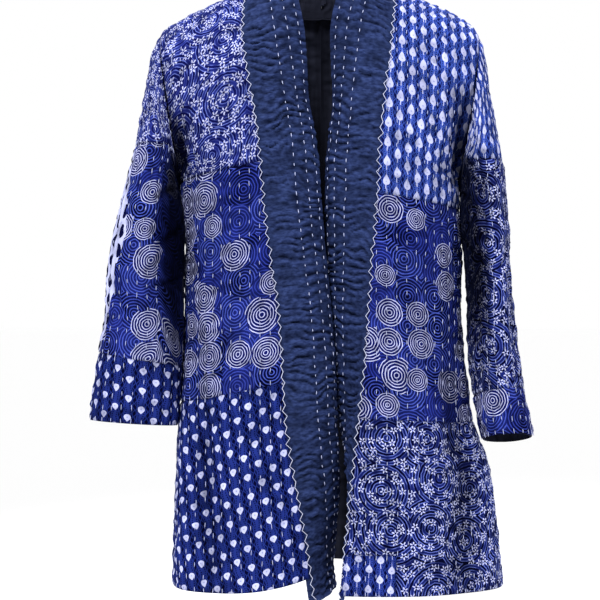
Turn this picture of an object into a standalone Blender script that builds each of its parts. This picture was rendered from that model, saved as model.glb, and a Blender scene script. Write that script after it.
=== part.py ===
# Kantha jacket: a long open-fronted coat of pieced and quilted cotton, in the round form it takes when worn.
# Metres. The front faces -Y, +X is the wearer's left and +Z is up.
# The origin lies between the shoulders, 12 mm above the neck ends of the shoulder seams.
# "Right" and "left" are the wearer's; side -1 is the right and side 1 the left.

import math

import bmesh
import bpy
import numpy as np

for old_object in list(bpy.data.objects):
    bpy.data.objects.remove(old_object, do_unlink=True)

# Cloth
WALL = 0.0025                # two cottons quilted together
SEAM_GAP = 0.0003            # clearance between two pieces at a seam
QUILT_HEIGHT = 0.0009        # rise of the cloth between two rows of quilting
PUCKER_HEIGHT = 0.0013       # rise of the cross ripples on the band
PUCKER_SPACING = 0.0065      # from a ripple's crest to its trough
PUCKER_SWING = 0.25          # share of the height that changes from ripple to ripple
PUCKER_PHASE = 1.9           # step of that change, in radians

# Armhole: a leaning ellipse, the same for body and sleeve
ARMHOLE_X = {-1: 0.2125, 1: 0.2045}
ARMHOLE_LEAN = 0.0155        # how far its top lies outside its middle
ARMHOLE_Z = -0.181
ARMHOLE_HALF_HEIGHT = 0.103
ARMHOLE_HALF_DEPTH = 0.072
ARMHOLE_ROWS = 11            # rows of the body from shoulder seam to underarm
NECK_CHANNELS = 7            # quilting channels of half the back between its middle and the neck's corner
CORNER = 2 * NECK_CHANNELS   # column of the neck's corner on a back panel's top

# Shoulders and neck
NECK_X = 0.104               # shoulder seam's neck end
NECK_DROP = math.radians(40) # how far down the back the neckline dips, as an angle round the shoulder
SHOULDER_COLUMNS = ("along", "right_height", "left_height")
SHOULDER = [                 # along: 0 at the neck end, 1 at the armhole
    (-0.95, 0.010, 0.010),
    (0.00, -0.012, -0.012),
    (0.28, -0.028, -0.0255),
    (0.54, -0.042, -0.039),
    (0.79, -0.058, -0.054),
    (0.91, -0.067, -0.064),
    (1.00, -0.078, -0.078),
]

# Level sections of the body below the underarm
ROUNDNESS = 2.5              # exponent of the sections' superellipse
SECTION_COLUMNS = ("z", "right_width", "left_width", "front_depth", "back_depth")
SECTIONS = [
    (-0.100, 0.2125, 0.2045, 0.115, 0.112),
    (-0.181, 0.2125, 0.2045, 0.118, 0.115),
    (-0.284, 0.1970, 0.1890, 0.124, 0.119),
    (-0.330, 0.1930, 0.1925, 0.125, 0.118),
    (-0.385, 0.1912, 0.1945, 0.124, 0.116),
    (-0.435, 0.1912, 0.1935, 0.123, 0.115),
    (-0.518, 0.1935, 0.1975, 0.124, 0.117),
    (-0.568, 0.1965, 0.2035, 0.125, 0.120),
    (-0.616, 0.2000, 0.2095, 0.127, 0.123),
    (-0.640, 0.2017, 0.2165, 0.128, 0.125),
    (-0.661, 0.2030, 0.2245, 0.129, 0.126),
    (-0.751, 0.2065, 0.2395, 0.132, 0.130),
    (-0.844, 0.2100, 0.2525, 0.135, 0.135),
]

# Where the band is sewn to the fronts: distance from the middle
SEAM_COLUMNS = ("z", "right_x", "left_x")
BAND_SEAM = [
    (-0.012, 0.1040, 0.1040),
    (-0.060, 0.1090, 0.0965),
    (-0.110, 0.1070, 0.0916),
    (-0.170, 0.0965, 0.0825),
    (-0.240, 0.0860, 0.0757),
    (-0.320, 0.0795, 0.0715),
    (-0.400, 0.0690, 0.0645),
    (-0.480, 0.0590, 0.0588),
    (-0.560, 0.0535, 0.0527),
    (-0.620, 0.0495, 0.0455),
    (-0.680, 0.0405, 0.0388),
    (-0.740, 0.0290, 0.0332),
    (-0.800, 0.0198, 0.0262),
    (-0.860, 0.0125, 0.0200),
]

# Rows below the underarm: height at the side seam, at the band or centre back, and how the row bends
ROW_COLUMNS = ("side_z", "inner_z", "bend")
ROWS = {
    ("front", -1): [
        (-0.284, -0.262, 1.0),
        (-0.335, -0.312, 1.0),
        (-0.386, -0.361, 1.0),
        (-0.437, -0.410, 1.0),
        (-0.488, -0.459, 1.0),
        (-0.539, -0.508, 1.0),
        (-0.590, -0.558, 1.0),
        (-0.640, -0.609, 1.2),
        (-0.690, -0.661, 1.5),
        (-0.740, -0.714, 2.0),
        (-0.790, -0.768, 2.5),
        (-0.843, -0.822, 3.0),
    ],
    ("front", 1): [
        (-0.284, -0.271, 1.0),
        (-0.323, -0.304, 1.0),
        (-0.372, -0.354, 1.0),
        (-0.421, -0.404, 1.0),
        (-0.470, -0.454, 1.0),
        (-0.519, -0.504, 1.0),
        (-0.568, -0.555, 1.0),
        (-0.616, -0.606, 1.0),
        (-0.661, -0.655, 1.0),
        (-0.706, -0.704, 1.0),
        (-0.750, -0.749, 1.0),
        (-0.789, -0.789, 1.0),
        (-0.843, -0.844, 1.0),
    ],
}
ROWS["back", -1] = ROWS["back", 1] = [
    (-0.284, -0.284, 1.0),
    (-0.335, -0.335, 1.0),
    (-0.388, -0.388, 1.0),
    (-0.441, -0.441, 1.0),
    (-0.494, -0.494, 1.0),
    (-0.547, -0.547, 1.0),
    (-0.600, -0.600, 1.0),
    (-0.648, -0.646, 1.0),
    (-0.696, -0.692, 1.0),
    (-0.744, -0.738, 1.0),
    (-0.793, -0.785, 1.0),
    (-0.843, -0.832, 1.0),
]

# Patches of the body: first and last row, and the quilting channels across each
PATCH_COLUMNS = ("name", "face", "side", "first_row", "last_row", "channels", "colour")
PATCHES = [
    ("front_right_upper", "front", -1, 0, 11, 9, (0.06, 0.07, 0.35)),
    ("front_right_middle", "front", -1, 11, 17, 12, (0.03, 0.04, 0.22)),
    ("front_right_lower", "front", -1, 17, 22, 14, (0.08, 0.10, 0.36)),
    ("front_left_upper", "front", 1, 0, 12, 9, (0.07, 0.12, 0.42)),
    ("front_left_middle", "front", 1, 12, 18, 12, (0.03, 0.04, 0.22)),
    ("front_left_lower", "front", 1, 18, 23, 16, (0.05, 0.05, 0.28)),
    ("back_right_upper", "back", -1, 0, 12, 13, (0.07, 0.12, 0.42)),
    ("back_right_middle", "back", -1, 12, 17, 14, (0.06, 0.07, 0.35)),
    ("back_right_lower", "back", -1, 17, 22, 15, (0.03, 0.04, 0.22)),
    ("back_left_upper", "back", 1, 0, 12, 13, (0.06, 0.07, 0.35)),
    ("back_left_middle", "back", 1, 12, 17, 14, (0.03, 0.04, 0.22)),
    ("back_left_lower", "back", 1, 17, 22, 16, (0.07, 0.12, 0.42)),
]
CORNER_PATCH = "front_left_corner"
CORNER_NEIGHBOUR = "front_left_lower"
CORNER_COLOUR = (0.07, 0.12, 0.42)
CORNER_CHANNELS = 4          # channels of the left front's lower patch that the corner patch takes
CORNER_ROW = 22              # its top edge

# The fronts turn back towards the hem, beside the band
TURN_REACH = 0.055
TURN_COLUMNS = ("z", "right_y", "left_y")
FRONT_TURN = [
    (-0.560, 0.000, 0.000),
    (-0.640, 0.004, 0.004),
    (-0.720, 0.015, 0.010),
    (-0.790, 0.026, 0.015),
    (-0.860, 0.034, 0.018),
]

# Long folds of the body; across runs from 0 at the band or centre back to 1 at the side
FOLD_COLUMNS = ("face", "side", "top_across", "top_row", "low_across", "low_row", "width", "depth")
BODY_FOLDS = [
    ("front", -1, 0.66, 15.5, 0.72, 22.9, 0.024, 0.0060),
    ("front", -1, 0.60, 15.0, 0.50, 22.9, 0.020, -0.0050),
    ("front", -1, 0.35, 16.5, 0.28, 22.9, 0.026, 0.0045),
    ("front", -1, 0.85, 5.0, 0.93, 11.5, 0.016, -0.0060),
    ("front", 1, 0.82, 17.5, 0.80, 23.9, 0.026, 0.0065),
    ("front", 1, 0.62, 15.5, 0.60, 23.9, 0.024, -0.0060),
    ("front", 1, 0.36, 17.0, 0.38, 23.9, 0.026, 0.0050),
    ("front", 1, 0.83, 4.5, 0.93, 11.5, 0.016, -0.0065),
    ("back", -1, 0.86, 5.0, 0.93, 11.5, 0.018, -0.0060),
    ("back", -1, 0.75, 11.5, 0.72, 22.9, 0.026, 0.0060),
    ("back", -1, 0.52, 14.0, 0.50, 22.9, 0.028, -0.0065),
    ("back", -1, 0.25, 12.5, 0.24, 22.9, 0.030, 0.0055),
    ("back", 1, 0.85, 4.5, 0.93, 11.5, 0.018, -0.0055),
    ("back", 1, 0.78, 12.5, 0.80, 22.9, 0.030, 0.0070),
    ("back", 1, 0.55, 13.0, 0.57, 22.9, 0.026, -0.0070),
    ("back", 1, 0.30, 15.0, 0.31, 22.9, 0.028, 0.0050),
]

# Sleeves: sections from the armhole to the cuff, from the outer line to the inner one
UPPER_SEAM_Z = {-1: -0.236, 1: -0.257}   # height of the level seam under a sleeve's upper patch
UPPER_SEAM_ROW = 3           # row of mesh on this seam
NARROW_PLACE = 1.0           # section to which the upper patch reaches where it narrows under the arm
EVEN_ROW = 5                 # from here on the rows of mesh are the sections
SLEEVE_COLUMNS = ("row", "outer_x", "outer_z", "inner_x", "inner_z", "half_depth", "centre_y", "tilt")
SLEEVES = {
    -1: [
        (0.0, 0.2280, -0.078, 0.1970, -0.284, 0.072, 0.000, 0.00),
        (1.0, 0.2368, -0.104, 0.1990, -0.289, 0.079, -0.008, 0.00),
        (2.0, 0.2460, -0.160, 0.1988, -0.296, 0.080, -0.020, 0.00),
        (3.0, 0.2560, -0.226, 0.1965, -0.306, 0.075, -0.031, 0.00),
        (4.0, 0.2700, -0.284, 0.1912, -0.348, 0.068, -0.040, 0.00),
        (5.0, 0.2840, -0.342, 0.1918, -0.394, 0.062, -0.043, 0.00),
        (6.0, 0.2950, -0.400, 0.1922, -0.442, 0.058, -0.044, 0.00),
        (7.0, 0.2990, -0.460, 0.1915, -0.490, 0.055, -0.044, 0.00),
        (8.0, 0.3085, -0.520, 0.1935, -0.538, 0.052, -0.043, 0.00),
        (9.0, 0.3152, -0.567, 0.1962, -0.580, 0.049, -0.042, 0.00),
        (10.0, 0.3215, -0.613, 0.1998, -0.621, 0.047, -0.041, 0.02),
    ],
    1: [
        (0.0, 0.2200, -0.078, 0.1890, -0.284, 0.072, 0.000, 0.00),
        (1.0, 0.2255, -0.106, 0.1910, -0.289, 0.079, -0.008, 0.00),
        (2.0, 0.2335, -0.172, 0.1925, -0.296, 0.081, -0.020, 0.00),
        (3.0, 0.2475, -0.253, 0.1928, -0.307, 0.078, -0.032, 0.00),
        (4.0, 0.2530, -0.306, 0.1918, -0.347, 0.073, -0.041, 0.00),
        (5.0, 0.2560, -0.358, 0.1970, -0.392, 0.069, -0.045, 0.00),
        (6.0, 0.2575, -0.411, 0.1998, -0.437, 0.066, -0.048, 0.02),
        (7.0, 0.2620, -0.464, 0.2000, -0.483, 0.063, -0.051, 0.05),
        (8.0, 0.2680, -0.517, 0.2020, -0.530, 0.060, -0.054, 0.09),
        (9.0, 0.2755, -0.570, 0.2080, -0.578, 0.058, -0.057, 0.14),
        (10.0, 0.2870, -0.636, 0.2195, -0.638, 0.056, -0.060, 0.19),
    ],
}
SLEEVE_ROWS = {              # rows of mesh, patch by patch
    -1: {"upper": (0, 0.5, 1, 2, 3), "middle": (3, 4, 5, 6, 7, 8), "cuff": (8, 9, 10)},
    1: {"upper": (0, 0.5, 1, 2, 3), "middle": (3, 4, 5, 6, 7, 8, 9), "cuff": (9, 10)},
}
SLEEVE_COLOURS = {
    ("upper", -1): (0.06, 0.07, 0.35),
    ("middle", -1): (0.03, 0.04, 0.22),
    ("cuff", -1): (0.08, 0.10, 0.36),
    ("upper", 1): (0.07, 0.12, 0.42),
    ("middle", 1): (0.05, 0.05, 0.28),
    ("cuff", 1): (0.03, 0.04, 0.22),
}

# Folds of the sleeves; across runs from 0 on the outer line to 1 on the inner one
SLEEVE_FOLD_COLUMNS = ("side", "half", "top_across", "top_row", "low_across", "low_row", "width", "depth")
SLEEVE_FOLDS = [
    (-1, "front", 0.62, 1.2, 0.70, 6.5, 0.020, -0.0055),
    (-1, "front", 0.30, 2.5, 0.42, 9.8, 0.022, 0.0040),
    (-1, "back", 0.60, 1.5, 0.62, 7.5, 0.022, -0.0055),
    (-1, "back", 0.32, 3.5, 0.30, 9.5, 0.022, 0.0040),
    (1, "front", 0.58, 1.2, 0.70, 9.0, 0.020, -0.0070),
    (1, "front", 0.38, 3.5, 0.46, 10.2, 0.016, 0.0060),
    (1, "back", 0.60, 1.5, 0.60, 8.0, 0.022, -0.0060),
    (1, "back", 0.30, 3.0, 0.34, 9.5, 0.022, 0.0045),
]

# Band: one plain strip up the right front, round the neck and down the left front
BAND_WIDTH = 0.085
BAND_ACROSS = (0.0, 0.26, 0.5, 0.7, 0.86, 1.0)
BAND_STEPS = 4               # straight steps of the band's curve between two of those columns
BAND_CURL = 2.5              # how late across the band its turn comes
BAND_COLOUR = (0.035, 0.05, 0.11)
BAND_HEM = {-1: -0.856, 1: -0.850}
TURN_START_BACK = -0.70      # at the middle of the back neck, where it stands up too
TURN_END_BACK = -1.00
BAND_TURN_COLUMNS = ("z", "right_start", "right_end", "left_start", "left_end")
BAND_TURN = [
    (-0.012, -0.54, -1.02, -0.54, -1.02),
    (-0.030, -0.46, -0.82, -0.46, -0.80),
    (-0.060, -0.30, -0.30, -0.30, -0.20),
    (-0.100, -0.02, 0.38, 0.05, 0.62),
    (-0.150, 0.22, 0.90, 0.28, 1.25),
    (-0.300, 0.22, 1.15, 0.45, 1.40),
    (-0.448, 0.28, 1.33, 0.82, 1.45),
    (-0.610, 0.24, 1.38, 1.18, 1.55),
    (-0.690, 0.27, 1.26, 1.38, 1.60),
    (-0.740, 0.30, 1.15, 1.45, 1.62),
    (-0.790, 0.45, 1.15, 1.47, 1.63),
    (-0.860, 0.52, 1.08, 1.48, 1.65),
]

FOLD_BLUNTNESS = 0.7         # how fast a fold grows from its ends
FOLD_MARGIN = 0.09           # share of a width over which folds die out towards the edges
HEART_Z = -0.25              # the shoulders' cloth faces away from the point of this height on the axis

EDGE_STEP = 0.02             # steps for a surface's slope, in rows and in shares of its width
SHARE_STEP = 0.004
ARMHOLE_BESIDE = 0.98        # place beside the armhole on a row of the body
DENSE = 121                  # points on a curve before it is spaced evenly

SIDE_NAMES = {-1: "right", 1: "left"}


def smooth_value(table, columns, name, by, at):
    """Read a table's column at any place, on a smooth curve through its rows."""
    keys = np.array([row[columns.index(by)] for row in table], dtype=float)
    values = np.array([row[columns.index(name)] for row in table], dtype=float)
    order = np.argsort(keys)
    keys, values = keys[order], values[order]
    slopes = np.gradient(values, keys)
    at = np.clip(at, keys[0], keys[-1])
    low = np.clip(np.searchsorted(keys, at) - 1, 0, len(keys) - 2)
    step = keys[low + 1] - keys[low]
    t = (at - keys[low]) / step
    return (
        (2 * t**3 - 3 * t**2 + 1) * values[low]
        + (t**3 - 2 * t**2 + t) * step * slopes[low]
        + (3 * t**2 - 2 * t**3) * values[low + 1]
        + (t**3 - t**2) * step * slopes[low + 1]
    )


def lines(table, columns, **wanted):
    """A table's lines as dictionaries, those that have the wanted values."""
    named = [dict(zip(columns, line)) for line in table]
    return [line for line in named if all(line[key] == value for key, value in wanted.items())]


def unit(vectors):
    """Scale vectors to length one."""
    return vectors / np.linalg.norm(vectors, axis=-1, keepdims=True)


def seam_x(side, z):
    """Distance of the band's seam from the middle at a height."""
    return smooth_value(BAND_SEAM, SEAM_COLUMNS, SIDE_NAMES[side] + "_x", "z", z)


def section_size(face, side, z):
    """Half width and depth of the level section at a height."""
    width = smooth_value(SECTIONS, SECTION_COLUMNS, SIDE_NAMES[side] + "_width", "z", z)
    depth = smooth_value(SECTIONS, SECTION_COLUMNS, face + "_depth", "z", z)
    return width, depth


def section_points(x_start, x_end, width, depth):
    """Points along a superellipse section between two distances from the middle."""
    start = math.asin(min(1.0, (x_start / width) ** (ROUNDNESS / 2)))
    end = math.asin(min(1.0, (x_end / width) ** (ROUNDNESS / 2)))
    angle = np.linspace(start, end, DENSE)
    x = width * np.sin(angle) ** (2 / ROUNDNESS)
    y = depth * np.abs(np.cos(angle)) ** (2 / ROUNDNESS)
    return x, y


def armhole_width(x, y, depth):
    """Half width of the section that passes through an armhole point."""
    return x / (1 - (y / depth) ** ROUNDNESS) ** (1 / ROUNDNESS)


def shoulder_row(face, side, angle):
    """Row over the shoulder, from the shoulder seam at angle 0 down to the armhole's middle."""
    middle_x = ARMHOLE_X[side]
    top_x = middle_x + ARMHOLE_LEAN
    depth = section_size(face, side, ARMHOLE_Z)[1]
    width = armhole_width(middle_x, ARMHOLE_HALF_DEPTH, depth)
    height = SIDE_NAMES[side] + "_height"
    neck_z = float(smooth_value(SHOULDER, SHOULDER_COLUMNS, height, "along", 0.0))
    inner_x = chest_x = start_x = 0.0
    if face == "front":
        start_x = NECK_X
        chest_x = float(seam_x(side, ARMHOLE_Z))
        inner_x = float(seam_x(side, ARMHOLE_Z + (neck_z - ARMHOLE_Z) * math.cos(angle)))
    share = np.linspace(0.0, 1.0, DENSE)
    if face == "back":
        corner = NECK_X / top_x
        neckline_share = corner * np.sin(np.linspace(0.0, math.pi / 2, DENSE))
        share = np.concatenate([neckline_share, np.linspace(corner, 1.0, DENSE)[1:]])
    section_x = chest_x + share * (middle_x - chest_x)
    section_y = depth * (1 - (section_x / width) ** ROUNDNESS) ** (1 / ROUNDNESS)
    seam_line_x = start_x + share * (top_x - start_x)
    along = (seam_line_x - NECK_X) / (top_x - NECK_X)
    top_z = smooth_value(SHOULDER, SHOULDER_COLUMNS, height, "along", along)
    neckline = NECK_DROP * np.sqrt(np.clip(1 - (seam_line_x / NECK_X) ** 2, 0, 1)) if face == "back" else 0.0
    turn = neckline + (math.pi / 2 - neckline) * angle / (math.pi / 2)
    arm_x = middle_x + ARMHOLE_LEAN * math.cos(angle)
    x = inner_x + share * (arm_x - inner_x)
    y = section_y * np.sin(turn)
    z = ARMHOLE_Z + (top_z - ARMHOLE_Z) * np.cos(turn)
    return x, y, z


def level_row(face, side, row):
    """Row below the armhole's middle; it reaches the armhole or the side seam."""
    angle = math.pi * min(row, ARMHOLE_ROWS) / ARMHOLE_ROWS
    columns = dict(zip(ROW_COLUMNS, zip(*ROWS[face, side])))
    steps = range(len(ROWS[face, side]))
    below = max(0.0, row - ARMHOLE_ROWS)
    side_z, inner_z, bend = (np.interp(below, steps, columns[name]) for name in ("side_z", "inner_z", "bend"))
    if row < ARMHOLE_ROWS:
        share_down = (angle - math.pi / 2) / (math.pi / 2)
        inner_z = ARMHOLE_Z + (inner_z - ARMHOLE_Z) * share_down
        side_z = ARMHOLE_Z + ARMHOLE_HALF_HEIGHT * math.cos(angle)
    width, depth = section_size(face, side, side_z)
    end_x = float(width)
    if row < ARMHOLE_ROWS:
        end_x = ARMHOLE_X[side] + ARMHOLE_LEAN * math.cos(angle)
        width = armhole_width(end_x, ARMHOLE_HALF_DEPTH * math.sin(angle), depth)
    start_x = float(seam_x(side, inner_z)) if face == "front" else 0.0
    x, y = section_points(start_x, end_x, width, depth)
    share = (x - start_x) / (end_x - start_x)
    z = side_z + (inner_z - side_z) * (1 - share) ** bend
    if face == "front":
        turn_back = smooth_value(FRONT_TURN, TURN_COLUMNS, SIDE_NAMES[side] + "_y", "z", inner_z)
        at_side = math.exp(-(end_x - start_x) / TURN_REACH)
        y = y - turn_back * (np.exp(-(x - start_x) / TURN_REACH) - at_side) / (1 - at_side)
    return x, y, z


def body_row(face, side, row, across):
    """Points of one row at even shares of its length."""
    row = max(0.0, row)
    if row <= ARMHOLE_ROWS / 2:
        x, y, z = shoulder_row(face, side, math.pi * row / ARMHOLE_ROWS)
    else:
        x, y, z = level_row(face, side, row)
    forward = -1.0 if face == "front" else 1.0
    points = np.stack([side * x, forward * y, z], axis=1)
    length = np.concatenate([[0.0], np.cumsum(np.linalg.norm(np.diff(points, axis=0), axis=1))])
    points = np.stack([np.interp(across * length[-1], length, points[:, i]) for i in range(3)], axis=1)
    return points, length[-1]


def neck_share(side):
    """Share of a back panel's top edge that is neckline; the rest is shoulder seam."""
    x, y, z = shoulder_row("back", side, 0.0)
    steps = np.linalg.norm(np.diff(np.stack([x, y, z], axis=1), axis=0), axis=1)
    return np.sum(steps[: DENSE - 1]) / np.sum(steps)


def panel_columns(face, side, first_row, channels):
    """Shares across a panel, two to a quilting channel; a back's top has one at the neck's corner."""
    if face == "back" and first_row == 0:
        corner = neck_share(side)
        neck = np.linspace(0.0, corner, 2 * NECK_CHANNELS + 1)
        return np.concatenate([neck, np.linspace(corner, 1.0, 2 * (channels - NECK_CHANNELS) + 1)[1:]])
    return np.linspace(0.0, 1.0, 2 * channels + 1)


def folds_height(folds, across, row, length):
    """Rise of long folds, which fade out at their ends and towards the edges of the cloth."""
    rise = np.zeros(len(across))
    for fold in folds:
        along = np.clip((row - fold["top_row"]) / (fold["low_row"] - fold["top_row"]), 0.0, 1.0)
        line = fold["top_across"] + (fold["low_across"] - fold["top_across"]) * along
        away = (across - line) * length / fold["width"]
        rise += fold["depth"] * np.sin(np.pi * along) ** FOLD_BLUNTNESS * np.exp(-(away**2))
    from_edge = np.minimum(across, 1 - across)
    return rise * np.clip(from_edge / FOLD_MARGIN, 0, 1)


def body_grid(face, side, rows, across):
    """Outer points of a panel without quilting, and the directions out of its cloth."""
    points, normals = [], []
    folds = lines(BODY_FOLDS, FOLD_COLUMNS, face=face, side=side)
    last = ARMHOLE_ROWS + len(ROWS[face, side]) - 1
    for row in rows:
        line, length = body_row(face, side, row, across)
        above = body_row(face, side, max(0.0, row - EDGE_STEP), across)[0]
        under = body_row(face, side, min(last, row + EDGE_STEP), across)[0]
        near = body_row(face, side, row, np.clip(across - SHARE_STEP, 0, 1))[0]
        far = body_row(face, side, row, np.clip(across + SHARE_STEP, 0, 1))[0]
        normal = unit(np.cross(far - near, under - above))
        heart = np.zeros_like(line)
        heart[:, 2] = np.minimum(line[:, 2], HEART_Z)
        normal *= np.sign(np.sum(normal * (line - heart), axis=1))[:, None]
        rise = folds_height(folds, across, row, length)
        points.append(line + normal * rise[:, None])
        normals.append(normal)
    return np.array(points), np.array(normals)


def section_place(side, row, turn):
    """Place of a row of mesh among a sleeve's sections; near the level seam the rows follow that seam."""
    if row >= EVEN_ROW:
        return np.full(len(turn), float(row))
    places = np.linspace(NARROW_PLACE, EVEN_ROW, DENSE)
    outer_z = smooth_value(SLEEVES[side], SLEEVE_COLUMNS, "outer_z", "row", places)
    inner_z = smooth_value(SLEEVES[side], SLEEVE_COLUMNS, "inner_z", "row", places)
    heights = [inner_z + (outer_z - inner_z) * outward for outward in (1 + np.cos(np.pi * turn)) / 2]
    seam = np.array([np.interp(-UPPER_SEAM_Z[side], -height, places) for height in heights])
    if row <= UPPER_SEAM_ROW:
        return seam * row / UPPER_SEAM_ROW
    return seam + (EVEN_ROW - seam) * (row - UPPER_SEAM_ROW) / (EVEN_ROW - UPPER_SEAM_ROW)


def sleeve_ring(side, half, place, turn):
    """Points of half a sleeve section, from its outer line to its inner one."""
    value = {name: smooth_value(SLEEVES[side], SLEEVE_COLUMNS, name, "row", place) for name in SLEEVE_COLUMNS}
    forward = -1.0 if half == "front" else 1.0
    outward = (1 + np.cos(np.pi * turn)) / 2
    sweep = forward * value["half_depth"] * np.sin(np.pi * turn)
    x = side * (value["inner_x"] + (value["outer_x"] - value["inner_x"]) * outward)
    y = value["centre_y"] + sweep
    z = value["inner_z"] + (value["outer_z"] - value["inner_z"]) * outward - value["tilt"] * sweep
    return np.stack([x, y, z], axis=1)


def sleeve_grid(side, half, rows, turn):
    """Outer points of half a sleeve without quilting, and the directions out of its cloth."""
    points, normals = [], []
    folds = lines(SLEEVE_FOLDS, SLEEVE_FOLD_COLUMNS, side=side, half=half)
    last = SLEEVES[side][-1][SLEEVE_COLUMNS.index("row")]
    for row in rows:
        place = section_place(side, row, turn)
        line = sleeve_ring(side, half, place, turn)
        above = sleeve_ring(side, half, np.maximum(0.0, place - EDGE_STEP), turn)
        under = sleeve_ring(side, half, np.minimum(last, place + EDGE_STEP), turn)
        near = sleeve_ring(side, half, place, turn - SHARE_STEP)
        far = sleeve_ring(side, half, place, turn + SHARE_STEP)
        normal = unit(np.cross(far - near, under - above))
        heart = (line + sleeve_ring(side, half, place, 1 - turn)) / 2
        heart[:, 1] = smooth_value(SLEEVES[side], SLEEVE_COLUMNS, "centre_y", "row", place)
        normal *= np.sign(np.sum(normal * (line - heart), axis=1))[:, None]
        length = np.sum(np.linalg.norm(np.diff(line, axis=0), axis=1))
        rise = folds_height(folds, turn, place, length)
        points.append(line + normal * rise[:, None])
        normals.append(normal)
    return np.array(points), np.array(normals)


def pull_back(outer, inner, axis, end, amount):
    """Draw one edge of a wall back into its own piece by part of the seam gap."""
    outer_lines = np.swapaxes(outer, 0, axis)
    inner_lines = np.swapaxes(inner, 0, axis)
    edge, next_line = (0, 1) if end == "first" else (-1, -2)
    outer_way = unit(outer_lines[next_line] - outer_lines[edge])
    outer_lines[edge] += outer_way * amount
    if len(inner_lines[edge]) == len(outer_way):
        inner_way = outer_way
    else:
        inner_way = outer_way[:: (len(outer_way) - 1) // (len(inner_lines[edge]) - 1)]
    inner_lines[edge] += inner_way * amount


def wall_object(name, outer, inner, marks, colour, cells=None):
    """Closed cloth wall between a fine outer grid and a plain inner grid.

    marks gives the fine column over each inner column, and cells tells which cells of the grid are cloth.
    """
    row_count, fine_count = outer.shape[:2]
    coarse_count = len(marks)
    if cells is None:
        cells = np.ones((row_count - 1, coarse_count - 1), dtype=bool)

    def fine(row, column):
        return row * fine_count + column

    def plain(row, column):
        return row_count * fine_count + row * coarse_count + column

    def cloth(row, column):
        inside = 0 <= row < row_count - 1 and 0 <= column < coarse_count - 1
        return inside and cells[row, column]

    def rim(outer_line, inner_near, inner_far):
        for near, far in zip(outer_line[:-1], outer_line[1:]):
            faces.append((near, far, inner_near))
        faces.append((outer_line[-1], inner_far, inner_near))

    faces = []
    for row in range(row_count - 1):
        for column in range(coarse_count - 1):
            if not cloth(row, column):
                continue
            first, last = marks[column], marks[column + 1]
            below, beside = row + 1, column + 1
            for step in range(first, last):
                faces.append((fine(row, step), fine(row, step + 1), fine(below, step + 1), fine(below, step)))
            faces.append((plain(row, column), plain(below, column), plain(below, beside), plain(row, beside)))
            for beyond, edge in ((row - 1, row), (row + 1, row + 1)):
                if not cloth(beyond, column):
                    line = [fine(edge, step) for step in range(first, last + 1)]
                    rim(line, plain(edge, column), plain(edge, column + 1))
            for beyond, mark, edge in ((column - 1, first, column), (column + 1, last, column + 1)):
                if not cloth(row, beyond):
                    rim([fine(row, mark), fine(row + 1, mark)], plain(row, edge), plain(row + 1, edge))

    vertices = np.concatenate([outer.reshape(-1, 3), inner.reshape(-1, 3)])
    mesh = bpy.data.meshes.new(name)
    mesh.from_pydata(vertices.tolist(), [], faces)
    shell = bmesh.new()
    shell.from_mesh(mesh)
    loose = [vertex for vertex in shell.verts if not vertex.link_faces]
    bmesh.ops.delete(shell, geom=loose, context="VERTS")
    bmesh.ops.recalc_face_normals(shell, faces=shell.faces)
    shell.to_mesh(mesh)
    shell.free()
    mesh.shade_smooth()
    mesh.set_sharp_from_angle(angle=math.radians(50))

    material = bpy.data.materials.new(name)
    material.use_nodes = True
    shader = material.node_tree.nodes["Principled BSDF"]
    shader.inputs["Base Color"].default_value = (*colour, 1.0)
    shader.inputs["Roughness"].default_value = 0.85
    mesh.materials.append(material)
    piece = bpy.data.objects.new(name, mesh)
    jacket.objects.link(piece)
    return piece


def band_wall(name, side, first, last, coarse_every, at_hem):
    """Length of the band between two places on its sewing line, puckered across by its quilting."""
    line = {key: values[first : last + 1] for key, values in band_lines[side].items()}
    places, marks = [0.0], [0]
    for index in range(last - first):
        length = np.linalg.norm(line["points"][index + 1] - line["points"][index])
        steps = 2 if coarse_every > 1 else 2 * max(1, round(length / (2 * PUCKER_SPACING)))
        places.extend(index + (step + 1) / steps for step in range(steps))
        if (index + 1) % coarse_every == 0:
            marks.append(len(places) - 1)
    places = np.array(places)
    low = np.minimum(places.astype(int), last - first - 1)
    part = places - low

    def between(values):
        weight = part if values.ndim == 1 else part[:, None]
        return values[low] * (1 - weight) + values[low + 1] * weight

    station = {key: between(values) for key, values in line.items()}
    normals, inward = unit(station["normals"]), unit(station["inward"])
    spot = station["points"] + station["across_seam"] * SEAM_GAP
    outer = [spot]
    inner = [(spot - station["miter"] * WALL)[marks]]
    for near, far in zip(BAND_ACROSS[:-1], BAND_ACROSS[1:]):
        reach = BAND_WIDTH * (far - near) / BAND_STEPS
        for step in range(BAND_STEPS):
            share = near + (far - near) * (step + 0.5) / BAND_STEPS
            turn = (station["start"] + (station["end"] - station["start"]) * share**BAND_CURL)[:, None]
            spot = spot + (inward * np.cos(turn) - normals * np.sin(turn)) * reach
        turn = (station["start"] + (station["end"] - station["start"]) * far**BAND_CURL)[:, None]
        facing = normals * np.cos(turn) + inward * np.sin(turn)
        crest = np.zeros(len(places))
        swing = PUCKER_SWING * (1 - np.sin(np.arange(len(crest[1::2])) * PUCKER_PHASE))
        crest[1::2] = PUCKER_HEIGHT * (1 - swing)
        outer.append(spot + facing * crest[:, None])
        inner.append((spot - facing * WALL)[marks])
    outer, inner = np.array(outer), np.array(inner)
    pull_back(outer, inner, 1, "first", SEAM_GAP / 2)
    if not at_hem:
        pull_back(outer, inner, 1, "last", SEAM_GAP / 2)
    wall_object(name, outer, inner, marks, BAND_COLOUR)


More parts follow.
